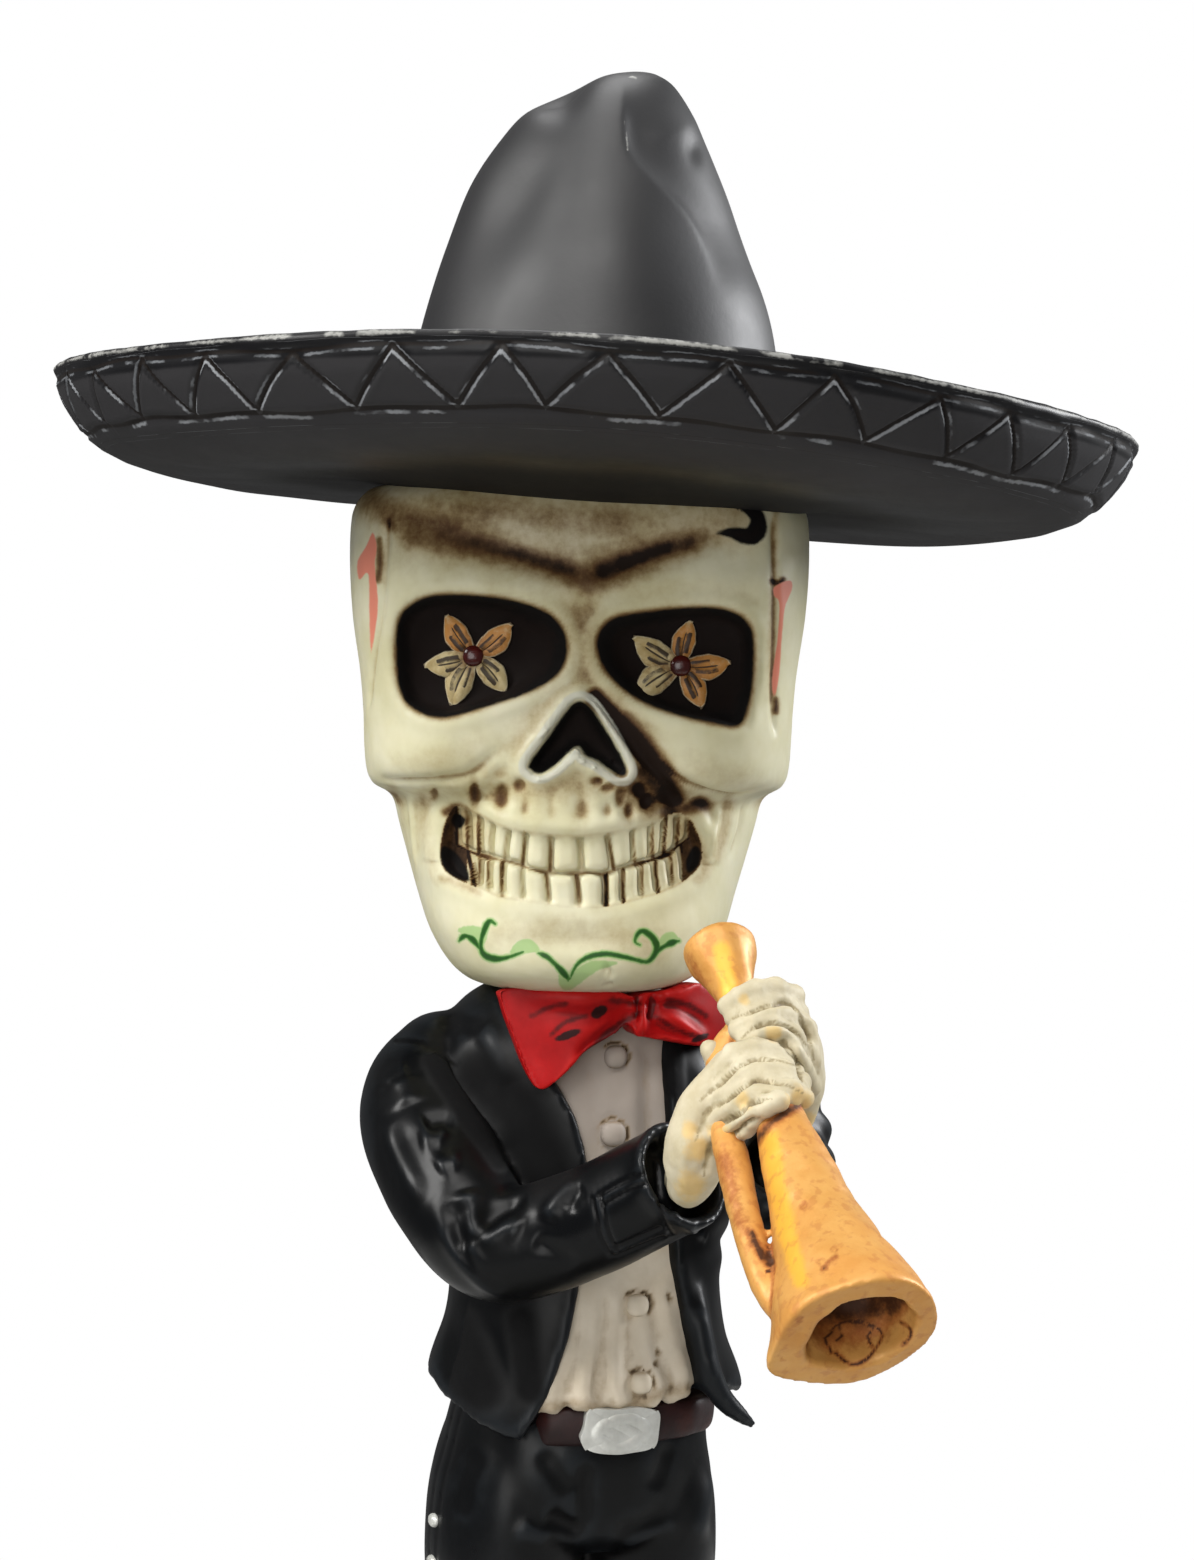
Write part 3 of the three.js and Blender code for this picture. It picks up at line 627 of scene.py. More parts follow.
def brimWave(turn):
    fromFront = turn + np.pi / 2
    wave = hat["waveLean"] * np.sin(2 * fromFront) - hat["waveDip"] * (1 - np.cos(4 * fromFront))
    return wave - hat["sideDip"] * np.sin(fromFront) ** 2


def zigzagKnots():
    # turns from the front, in degrees, of the peaks and of the valleys between them
    seen = np.array(hat["peaksSeen"])
    hidden = hat["peaksInAll"] - len(seen)
    rest = np.linspace(seen[-1], seen[0] + 360, hidden + 2)[1:-1]
    rest = rest + 1.1 * np.sin(np.arange(hidden) * 2.3)
    peaks = np.concatenate([seen, rest])
    following = np.append(peaks[1:], peaks[0] + 360)
    valleys = (peaks + following) / 2 + 0.9 * np.sin(np.arange(len(peaks)) * 1.9 + 1)
    return peaks, valleys


def makeBrim():
    profile = np.array(hat["under"] + hat["band"] + hat["rim"] + hat["dishFloor"] + hat["crownFoot"])
    profile[:, 0] *= hat["brimRadius"]
    line = spline(profile, 900)
    line[:, 0] = np.maximum(line[:, 0], 0)
    length = np.concatenate([[0], np.cumsum(np.linalg.norm(np.diff(line, axis=0), axis=1))])
    # rows lie close together on the band and the rim
    fromRim = np.abs(length - length[np.argmax(line[:, 1])])
    isBand = (line[:, 1] > hat["lowLine"] - 1.2) & (line[:, 0] > 0.92 * hat["brimRadius"])
    weight = np.where(isBand & (fromRim < 8), 5.0, 1.0) * np.where(line[:, 0] < 16, 0.35, 1)
    pace = np.concatenate([[0], np.cumsum(np.diff(length) * (weight[1:] + weight[:-1]) / 2)])

    def shape(turn, rise):
        at = np.interp(rise * pace[-1], pace, np.arange(len(line)))
        r = np.interp(at, np.arange(len(line)), line[:, 0])
        z = np.interp(at, np.arange(len(line)), line[:, 1])
        share = r / hat["brimRadius"]
        z = z + brimWave(turn) * np.maximum(share - 0.33, 0)
        z = z + hat["backLift"] * np.maximum(np.sin(turn), 0) * bell(share - 0.62, 0.22)
        # the underside hangs lower over the forehead
        under = (line[:, 1] < -7.9)[np.round(at).astype(int)] & (at < 450)
        z = z - hat["browDip"] * ease(-np.sin(turn), 0.1, 0.7) * bell(share - 0.28, 0.2) * under
        return np.stack([r * np.cos(turn), r * np.sin(turn), z], axis=1)

    brim = ball("sombrero_brim", hat["around"], hat["tall"], shape)
    spots = spotsOf(brim)
    radius = np.hypot(spots[:, 0], spots[:, 1])
    turn = np.arctan2(spots[:, 1], spots[:, 0])
    level = spots[:, 2] - brimWave(turn) * np.maximum(radius / hat["brimRadius"] - 0.33, 0)
    outer = (radius > 0.9 * hat["brimRadius"]) & (level < -0.3)
    outer &= radius > np.interp(level, [-6, -3, 0], [0.9, 0.95, 0.982]) * hat["brimRadius"]

    # the incised zigzag between two lines that run round the band
    fromFront = np.degrees(np.arctan2(spots[:, 0], -spots[:, 1]))
    peaks, valleys = zigzagKnots()
    knots = np.sort(np.concatenate([peaks, valleys]))
    isPeak = np.isin(knots, peaks)
    perDegree = np.pi / 180 * hat["brimRadius"]
    lean = 1.12  # the band slopes, so it is longer than it is tall
    sway = 0.12 * np.sin(np.radians(fromFront) * 9) + 0.1 * np.sin(np.radians(fromFront) * 23 + 1)
    zigzag = np.full(len(spots), 9.0)
    flat = np.stack([fromFront * perDegree, (level + sway) * lean], axis=1)[outer]
    gap = np.full(len(flat), 9.0)
    below = np.zeros(len(flat), bool)
    for turnBy in (-360, 0, 360):
        path = []
        for k, knot in enumerate(knots + turnBy):
            turningPoint = hat["highLine"] - 0.1 if isPeak[k] else hat["lowLine"] + 0.25
            path.append((knot * perDegree, turningPoint * lean))
            following = knots[k + 1] + turnBy if k + 1 < len(knots) else knots[0] + turnBy + 360
            # each slope is bowed a little, as cut by hand
            middle = (hat["highLine"] + hat["lowLine"]) / 2 * lean
            path.append(((knot + following) / 2 * perDegree + 0.16 * math.sin(k * 2.1), middle + 0.12))
        path.append(((knots[0] + turnBy + 360) * perDegree, path[0][1]))
        path = np.array(path)
        for k in range(len(path) - 1):
            near = (flat[:, 0] > min(path[k, 0], path[k + 1, 0]) - 1.6)
            near &= flat[:, 0] < max(path[k, 0], path[k + 1, 0]) + 1.6
            if near.any():
                gap[near] = np.minimum(gap[near], toPath(flat[near], path[k : k + 2])[0])
        covered = (flat[:, 0] >= path[0, 0]) & (flat[:, 0] <= path[-1, 0])
        below |= covered & (flat[:, 1] < np.interp(flat[:, 0], path[:, 0], path[:, 1]))
    # the zigzag's distance is above zero under it, so that it runs evenly across the line
    zigzag[outer] = np.where(below, gap, -gap)
    lane = np.where(outer, (level + sway) * lean, 9.0)
    groove = np.abs(zigzag)
    for height in (hat["lowLine"], hat["highLine"]):
        groove = np.minimum(groove, np.abs(lane - height * lean))
    groove = np.minimum(groove, 0.12 + np.abs(lane - (hat["highLine"] + 0.42) * lean))
    cut = hat["grooveDepth"] * bell(groove, hat["grooveWidth"])
    burr = 0.05 * bell(groove - 0.5, 0.2)
    worn = 0.05 * wander(spots, 2.2, 3) * ease(level, -1, 0) + 0.06 * wander(spots, 9, 1)
    push(brim, burr - cut + worn)
    note(brim, "zigzag", zigzag)
    note(brim, "lane", lane)
    crest = np.hypot(radius - 0.993 * hat["brimRadius"], level + 0.05)
    note(brim, "wear", 1 - crest)
    # painted shade under the brim by the forehead; further out on the underside a paler painted light, and
    # dust in the dish
    below = ease(-spotsOf(brim, "normal")[:, 2], 0.1, 0.5) * (level < -2)
    note(brim, "shade", below * bell(np.maximum(radius - 22, 0), 8))
    dish = ease(spotsOf(brim, "normal")[:, 2], 0.2, 0.6) * (level < -0.4)
    note(brim, "dustAndPaintedLight", np.maximum(below * ease(radius, 28, 44), 0.9 * dish))
    place(brim, hatPlace, "head_with_sombrero", hatPaint)


crown = {
    # height over the dish, offset, half width, half depth
    "rings": [
        (-0.6, -0.2, 19.0, 18.6), (8, -0.3, 17.5, 16.9), (16, -0.4, 16.0, 15.2), (22, -0.9, 14.2, 13.3),
        (27.5, -1.2, 12.3, 11.5), (32, -1.1, 9.9, 9.5), (35.4, -0.6, 7.5, 7.1), (37.8, 0.7, 4.3, 4.1),
        (38.8, 1.8, 1.5, 1.5),
    ],
    "widthTaken": 38.8,
    "height": 38.2,
    "around": 230,
    "tall": 160,
    # soft hollows, in pixels of the photograph: middle, half length and half width, lean, then the depth
    # in millimetres
    "hollows": [
        ((512, 186), (92, 40), 30, 1.5), ((555, 78), (34, 30), 0, 1.5), ((697, 146), (13, 7), -14, 0.35),
        ((612, 235), (72, 62), 0, -0.7),
    ],
    # the edge that runs down from the top, and the hollow to the right of it
    "edge": [(622, 70), (623, 110), (628, 152), (652, 180), (684, 212), (703, 246), (714, 290), (719, 335)],
    "edgeHollow": {"depth": 1.0, "sharp": 12, "wide": 52},
    # levels in the photograph between which that hollow begins, and between which it ends
    "hollowStarts": (74, 130),
    "hollowEnds": (216, 300),
    # worn places: a scratch and its half width, and a chip with its half width and height
    "scratch": [(624, 120), (626, 130), (628, 150)],
    "scratchWidth": 12,
    "chip": (632, 79, 11, 6.875),
}


def makeCrown():
    rings = np.array(crown["rings"])
    shrink = crown["height"] / crown["widthTaken"]

    def shape(turn, rise):
        ring = splineAt(rings, np.clip((rise - 0.03) / 0.95, 0, 1))
        grow = np.clip(rise / 0.03, 0, 1) * np.clip((1 - rise) / 0.02, 0, 1)
        # two shallow hollows behind, which the photograph doesn't show
        fromBack = np.degrees(np.arctan2(np.cos(turn), np.sin(turn)))
        pinch = 1 - 0.11 * ease(ring[:, 0], 14, 32) * (bell(fromBack - 42, 24) + bell(fromBack + 44, 26))
        x = ring[:, 1] + np.cos(turn) * ring[:, 2] * pinch * grow
        y = np.sin(turn) * ring[:, 3] * pinch * grow
        spots = np.stack([x, y, ring[:, 0]], axis=1) * shrink
        spots[:, 2] += hat["wall"] - hat["dish"]
        return spots

    top = ball("sombrero_crown", crown["around"], crown["tall"], shape)
    spots = spotsOf(top)
    seen = inPhoto(spots, hatPlace)
    front = ease(-spots[:, 1], -3, 3)
    sink = 0.03 * wander(spots, 12, 2)
    for (px, py), (tall, wide), lean, depth in crown["hollows"]:
        c, s = math.cos(math.radians(lean)), math.sin(math.radians(lean))
        dx, dy = seen[:, 0] - px, seen[:, 1] - py
        sink += depth * front * bell(np.hypot((c * dx + s * dy) / wide, (c * dy - s * dx) / tall), 1)
    edge = spline(crown["edge"], 60)
    gap, _ = toPath(seen, edge)
    beyond = seen[:, 0] > np.interp(seen[:, 1], edge[:, 1], edge[:, 0])
    hollow = crown["edgeHollow"]
    share = (1 - np.exp(-gap / hollow["sharp"])) * bell(gap, hollow["wide"]) * beyond
    share *= ease(seen[:, 1], *crown["hollowStarts"]) * (1 - ease(seen[:, 1], *crown["hollowEnds"]))
    sink += hollow["depth"] * front * share
    push(top, -sink)
    relax(top, 6)
    spots = spotsOf(top)
    seen = inPhoto(spots, hatPlace)
    front = spots[:, 1] < 2
    scratch = 0.82 - toPath(seen, crown["scratch"])[0] / crown["scratchWidth"]
    chip = 1.3 - toSpot(seen, *crown["chip"])
    note(top, "zigzag", np.full(len(spots), 9.0))
    note(top, "lane", np.full(len(spots), 9.0))
    note(top, "wear", np.clip(np.where(front, np.maximum(scratch, chip), 0), 0, 1.2))
    place(top, hatPlace, "head_with_sombrero", crownPaint)


# Satin charcoal acrylic on cast resin: soft wide highlights, and pale scuffs along what was cut into it
hatFinish = dict(
    coat="#101013", coatTwo="#0b0b0e", rough=0.42, shine=0.34, roughSpread=0.08, mottle=9, grain=0.55,
    bump=0.25, swell=0.08,
    layers=[
        # painted shade under the brim, then painted light on the outer underside with dust in the dish
        layer("shade", 0.1, 0.9, "#030303", ragged=0.05, cover=0.92, rough=0.75),
        layer("dustAndPaintedLight", 0.1, 1.0, "#313032", ragged=0.1, patchy=0.3, cover=0.8, rough=0.68),
        layer("zigzag", 0.16, 0.04, "#8f9296", about=0.3, ragged=0.12, patchy=0.1, cover=0.9, rough=0.5,
              breaks=(3.2, 0.46, 0.54)),
        layer("zigzag", 0.14, 0.03, "#74777b", about=-0.3, ragged=0.12, patchy=0.1, cover=0.8,
              breaks=(4.1, 0.52, 0.58)),
        layer("lane", 0.17, 0.04, "#8f9296", about=-6.75, ragged=0.16, patchy=0.16, cover=0.85,
              breaks=(5.0, 0.5, 0.56)),
        layer("lane", 0.15, 0.04, "#74777b", about=-1.5, ragged=0.14, patchy=0.12, cover=0.8,
              breaks=(3.6, 0.48, 0.56)),
        layer("lane", 0.1, 0.02, "#74777b", about=-0.9, ragged=0.14, cover=0.6, breaks=(4.4, 0.5, 0.58)),
        layer("zigzag", 0.26, 0.12, "#140d09", about=0.0, ragged=0.04, cover=0.92),
        layer("lane", 0.24, 0.12, "#140d09", about=-6.44, ragged=0.04, cover=0.92),
        layer("lane", 0.2, 0.1, "#140d09", about=-1.18, ragged=0.04, cover=0.85, breaks=(6.0, 0.38, 0.46)),
        layer("wear", 0.72, 0.92, "#9c9c98", ragged=0.2, patchy=0.22, cover=0.85, rough=0.5,
              breaks=(3.0, 0.42, 0.5)),
    ],
)
hatPaint = paintOf("satin_charcoal_acrylic", **hatFinish)
# the crown has a broader and stronger sheen than the brim
crownPaint = paintOf("polished_charcoal_acrylic", **{**hatFinish, "rough": 0.5, "shine": 0.7})

makeBrim()
makeCrown()
print("sombrero ready")

# Skull

skullForm = {
    "voxel": 0.42,
    "skinVoxel": 0.52,
    # height over the chin, half width, front, back, squareness of front and back, offset
    "cranium": [
        (17.2, 15.5, 13.5, 13, 3, 2.2, 0), (18.0, 18.1, 16.2, 14.5, 3.4, 2.2, 0),
        (19.4, 18.9, 17.1, 16, 3.6, 2.2, 0), (23, 19.1, 17.3, 18, 3.8, 2.3, 0),
        (28, 19.5, 17.0, 19.3, 4, 2.3, 0), (33, 20.2, 17.4, 20, 4, 2.3, 0),
        (38, 20.6, 17.4, 20.1, 3.6, 2.3, 0), (42.6, 20.4, 17.0, 19.6, 3.4, 2.3, 0),
        (44.6, 19.0, 15.8, 18.2, 3, 2.3, 0),
    ],
    "jaw": [
        (0.05, 6.3, 12.4, 5, 2.6, 2.2, 0.3), (0.7, 9.4, 15.4, 8, 2.8, 2.2, 0.3),
        (2.2, 11.4, 17.2, 10, 2.9, 2.2, 0.2), (5.2, 13.2, 17.8, 11, 2.9, 2.2, 0.1),
        (8.6, 14.3, 16.9, 11.8, 2.8, 2.2, 0), (12.3, 15.4, 15.9, 12.4, 2.6, 2.2, 0),
        (16, 16.4, 15.2, 13, 2.5, 2.2, 0), (19.5, 16.9, 14.6, 13.4, 2.5, 2.2, 0),
    ],
    "muzzle": [
        (5.4, 9.5, 15.4, 0.6, 2.5, 2.2, -0.5), (7.6, 11.6, 17.6, 0.6, 2.5, 2.2, -0.5),
        (11, 12.6, 17.9, 0.6, 2.5, 2.2, -0.5), (14.5, 12.3, 17.9, 0.6, 2.5, 2.2, -0.5),
        (18.5, 9.8, 17.6, 0.6, 2.5, 2.2, -0.5), (22, 6.2, 17.4, 0.6, 2.5, 2.2, -0.5),
    ],
    "socketFloor": -14.9,
    "socketSwing": 7,
    "lipDepth": 0.34,
    "mouthDepth": 1.15,
    "noseDepth": 2.3,
    "noseRim": 0.75,
}

# Outlines and strokes on the face, in pixels of the photograph
facePixels = {
    "leftSocket": [
        (399, 622), (411, 606), (436, 596), (485, 597), (523, 604), (553, 618), (566, 642), (560, 670),
        (533, 689), (488, 705), (443, 717), (414, 708), (401, 690), (397, 656),
    ],
    "rightSocket": [
        (599, 635), (614, 619), (650, 612), (702, 608), (733, 613), (750, 628), (753, 656), (750, 694),
        (739, 724), (712, 722), (671, 712), (636, 697), (610, 675), (599, 654),
    ],
    "nose": [
        (582, 700), (593, 708), (609, 732), (624, 759), (628, 773), (619, 777), (598, 763), (584, 756),
        (578, 748), (569, 754), (557, 766), (541, 775), (529, 770), (528, 763), (543, 742), (560, 718),
        (572, 703),
    ],
    "mouth": [
        (455, 807), (478, 814), (502, 826), (533, 833), (567, 836), (602, 834), (633, 828), (657, 821),
        (674, 814), (688, 818), (700, 842), (700, 863), (684, 880), (660, 892), (633, 900), (602, 907),
        (567, 907), (533, 902), (502, 897), (478, 887), (454, 876), (442, 863), (443, 835),
    ],
    "pockets": [
        [(443, 846), (441, 860), (449, 874), (468, 881), (467, 868), (456, 852)],
        [(456, 813), (451, 822), (460, 829), (467, 819)],
        [(694, 846), (701, 852), (698, 866), (688, 873), (686, 860)],
    ],
    # hollows between the roots of the teeth: middle, half width and height, strength
    "pits": [
        (474, 794, 5, 12, 0.8), (501, 796, 6.5, 13, 0.62), (524, 807, 5, 10, 0.3), (551, 805, 5, 12, 0.2),
        (582, 805, 8, 15, 0.5), (608, 810, 5.5, 8.5, 0.4), (621, 799, 6, 10, 0.7), (629, 811, 6.5, 12, 0.8),
        (519, 785, 5, 5, 0.6), (597, 782, 7, 4.5, 0.72), (607, 788, 7.5, 4.5, 0.66), (498, 774, 10, 9, 0.42),
        (434, 793, 3.5, 5, 0.55), (640, 791, 7, 8, 0.85), (646, 801, 6, 8, 0.8),
    ],
    "cheekLines": [
        [(364, 774), (378, 779), (392, 781), (424, 781), (454, 778), (471, 773), (492, 756), (512, 740)],
        [(774, 782), (753, 791), (736, 795), (712, 793), (691, 786), (671, 771), (655, 752), (645, 735)],
    ],
    # how far above a cheek line its ridge runs, and below the brow its hollow
    "ridgeAbove": 20,
    "hollowBelow": 24,
    "cheekGroove": [(593, 697), (612, 716), (630, 737), (648, 762), (664, 784), (674, 803)],
    "plateLines": [
        [(388, 505), (385, 560), (380, 615), (373, 663), (368, 711)],
        [(773, 508), (775, 573), (775, 642), (773, 694), (776, 740)],
    ],
    "jawLines": [
        [(409, 790), (412, 814), (415, 849), (417, 880)], [(397, 790), (398, 814), (403, 849), (409, 880)],
        [(718, 800), (715, 828), (708, 859)], [(744, 797), (739, 830), (727, 862)],
    ],
    "brow": [
        [(385, 513), (426, 525), (454, 535), (485, 544), (519, 554), (553, 566), (588, 577)],
        [(588, 577), (609, 572), (626, 565), (650, 554), (671, 547), (702, 539), (733, 532)],
    ],
    "comma": [
        (734, 509), (742, 505), (753, 504), (762, 510), (767, 522), (766, 535), (757, 544), (743, 544),
        (728, 537), (716, 533), (733, 527), (746, 528), (750, 520), (744, 513),
    ],
    "scroll": [
        [(495, 924), (490, 921), (486, 926), (482, 937), (481, 949), (486, 956), (497, 959), (509, 957),
            (523, 952)],
        [(459, 941), (465, 936), (473, 940), (481, 951)],
        [(538, 953), (547, 957), (557, 966), (566, 976), (568, 981)],
        [(570, 979), (576, 966), (586, 958), (602, 954), (615, 955), (633, 959), (646, 962), (653, 957),
            (657, 947), (652, 937), (643, 931), (637, 935), (635, 942), (640, 945)],
        [(652, 956), (660, 949), (671, 943), (679, 941)],
    ],
    "scrollShade": [
        [(460, 930), (478, 934), (482, 945)], [(512, 952), (526, 946), (538, 950)],
        [(560, 976), (566, 985), (578, 976), (595, 966), (615, 963)], [(660, 946), (669, 939), (678, 939)],
    ],
    "coral": [
        [(373, 532), (366, 546), (357, 562), (359, 580), (368, 574), (369, 609), (371, 654), (377, 619),
            (378, 597), (375, 565), (377, 548)],
        [(774, 587), (790, 580), (792, 590), (785, 609), (782, 640), (779, 678), (774, 698), (772, 678),
            (777, 640), (779, 604), (774, 596)],
    ],
    # brown glaze and painted shade (the brim's shadow on the forehead, shade between the eyes and beside the
    # nose): line, half width in millimetres, strength
    "glazeAndShade": [
        ([(412, 534), (440, 539), (480, 545), (515, 553), (553, 566), (588, 577)], 1.9, 0.85),
        ([(420, 526), (480, 533), (540, 548), (590, 560)], 3.6, 0.58),
        ([(588, 577), (615, 567), (640, 556), (671, 546), (690, 541)], 2.0, 0.92),
        ([(622, 564), (645, 554), (668, 547)], 1.3, 1.05), ([(452, 538), (470, 540), (486, 543)], 0.9, 0.8),
        ([(600, 560), (640, 545), (690, 530), (730, 522)], 3.2, 0.6),
        ([(690, 541), (712, 535), (735, 530)], 0.9, 0.6),
        ([(372, 500), (392, 512), (420, 522), (450, 530)], 2.4, 0.8),
        ([(376, 504), (384, 518), (394, 526)], 0.9, 0.85),
        ([(540, 515), (590, 520), (650, 520), (700, 512)], 3.8, 0.5),
        ([(490, 510), (550, 520), (620, 524)], 2.6, 0.68), ([(395, 504), (450, 512), (520, 520)], 2.6, 0.55),
        ([(350, 488), (480, 486), (600, 486), (760, 492)], 1.6, 0.5),
        ([(575, 590), (580, 630), (583, 670)], 2.6, 0.36), ([(560, 690), (545, 715), (520, 742)], 2.6, 0.33),
        ([(612, 590), (680, 585), (740, 590)], 2.2, 0.2),
        ([(595, 698), (610, 712), (624, 729), (636, 744), (648, 760)], 0.85, 1.6),
        ([(622, 722), (640, 742), (656, 764), (668, 784), (676, 800)], 1.2, 1.3),
        ([(644, 772), (656, 786), (668, 800), (672, 812)], 1.45, 1.1),
        ([(668, 806), (684, 808), (702, 804)], 0.9, 1.0),
        ([(608, 702), (636, 732), (662, 768), (684, 796)], 1.6, 0.5),
        ([(625, 782), (640, 792), (650, 806)], 1.6, 0.85), ([(484, 772), (498, 782), (505, 800)], 0.9, 0.3),
        ([(520, 790), (560, 784), (600, 790), (640, 800)], 1.3, 0.26),
        ([(400, 764), (440, 760), (480, 744)], 1.5, 0.24), ([(690, 760), (720, 776), (750, 776)], 1.6, 0.26),
        ([(500, 936), (560, 928), (610, 936), (650, 944)], 1.9, 0.36),
        ([(540, 905), (575, 912), (612, 906)], 1.4, 0.18), ([(392, 790), (398, 830), (410, 878)], 0.7, 0.45),
        ([(424, 790), (424, 830), (436, 880)], 0.8, 0.34), ([(728, 802), (725, 830), (718, 856)], 0.7, 0.5),
        ([(379, 540), (380, 562), (378, 580)], 0.45, 0.9),
        ([(775, 508), (774, 573), (772, 640), (773, 700)], 0.45, 0.55),
        ([(772, 581), (778, 583), (783, 580)], 0.35, 1.2), ([(776, 700), (776, 712)], 0.35, 1.0),
        ([(446, 812), (456, 808), (466, 812)], 0.5, 0.9),
        ([(662, 826), (672, 820), (686, 824), (694, 838)], 0.6, 0.75),
        ([(700, 850), (706, 868), (698, 880)], 0.7, 0.5), ([(440, 878), (460, 884), (478, 893)], 0.6, 0.5),
    ],
    # teeth: the line they meet on, and how dark the wash lies in it
    "bite": [
        (455, 845), (465, 849.5), (476, 854), (487, 857), (504, 860.5), (519, 864.5), (530, 869),
        (541, 871.7), (560, 873.6), (578, 873.6), (589, 872.6), (602, 874.5), (611, 871.7), (622, 868),
        (633, 865.2), (643, 862.5), (656, 858.8), (669, 854), (678, 845.8), (690, 838),
    ],
    "biteWash": [
        (455, 1.3), (475, 1.1), (500, 0.6), (535, 0.85), (560, 0.5), (590, 0.95), (612, 0.65), (630, 0.6),
        (645, 1.3), (680, 1.3),
    ],
    # gaps in pixels: at the root, at the bite, half width, darkness
    "upperGaps": [
        (455, 455.5, 2, 1.2), (467, 466.6, 1.0, 0.9), (479.6, 478.1, 1.3, 1.0), (492, 490, 0.5, 0.5),
        (507.3, 505.5, 0.8, 0.6), (524, 523.4, 1.3, 0.9), (549.8, 550.2, 1.5, 0.85), (580, 581.3, 1.5, 0.5),
        (609, 613, 1.3, 0.9), (634.2, 634.9, 0.7, 0.8), (652, 653.4, 1.3, 0.9), (665.2, 664.5, 1.2, 1.1),
        (677.8, 677, 1.0, 1.0), (689, 689, 1.5, 1.0),
    ],
    "lowerGaps": [
        (474, 467, 2, 1.2), (479.6, 478.5, 0.8, 0.8), (489.6, 487.7, 1.0, 0.85), (502.5, 502.5, 1.5, 1.05),
        (522.5, 522.2, 0.7, 0.65), (548, 546.9, 1.5, 0.85), (578.9, 576.5, 1.8, 1.0),
        (606.6, 604.8, 1.8, 1.2), (624.6, 622.3, 1.1, 1.1), (643, 641.9, 0.9, 0.9), (657.9, 656, 1.2, 1.1),
        (671.9, 670.8, 1.0, 1.0), (684, 681.9, 1.5, 1.2),
    ],
    # how dark the wash lies along the bite, towards the corners of the mouth
    "biteEnds": [(450, 0.5), (500, 0.12), (640, 0.12), (690, 0.5)],
    # levels above and below which the outline of the mouth is the roots of the teeth
    "rootLevels": (845, 858),
    # a blemish on the chin and a mottled patch over the teeth: middle, half width and height
    "blemish": (607, 977, 5, 9),
    "mottled": (560, 788, 125, 17),
    # middle of each flower and the tips of its petals
    "flowers": [
        [(474, 656), (448, 616), (512, 625), (505, 692), (452, 706), (426, 666)],
        [(680, 666), (691, 622), (729, 663), (701, 708), (637, 696), (634, 638)],
    ],
}

faceMm = photo["perMm"]


def shapeGap(seen, outline, count=60, reach=60):
    return toOutline(seen, spline(outline, count, True), reach) / faceMm


def faceGap(seen, name):
    return shapeGap(seen, facePixels[name], 90, 70)


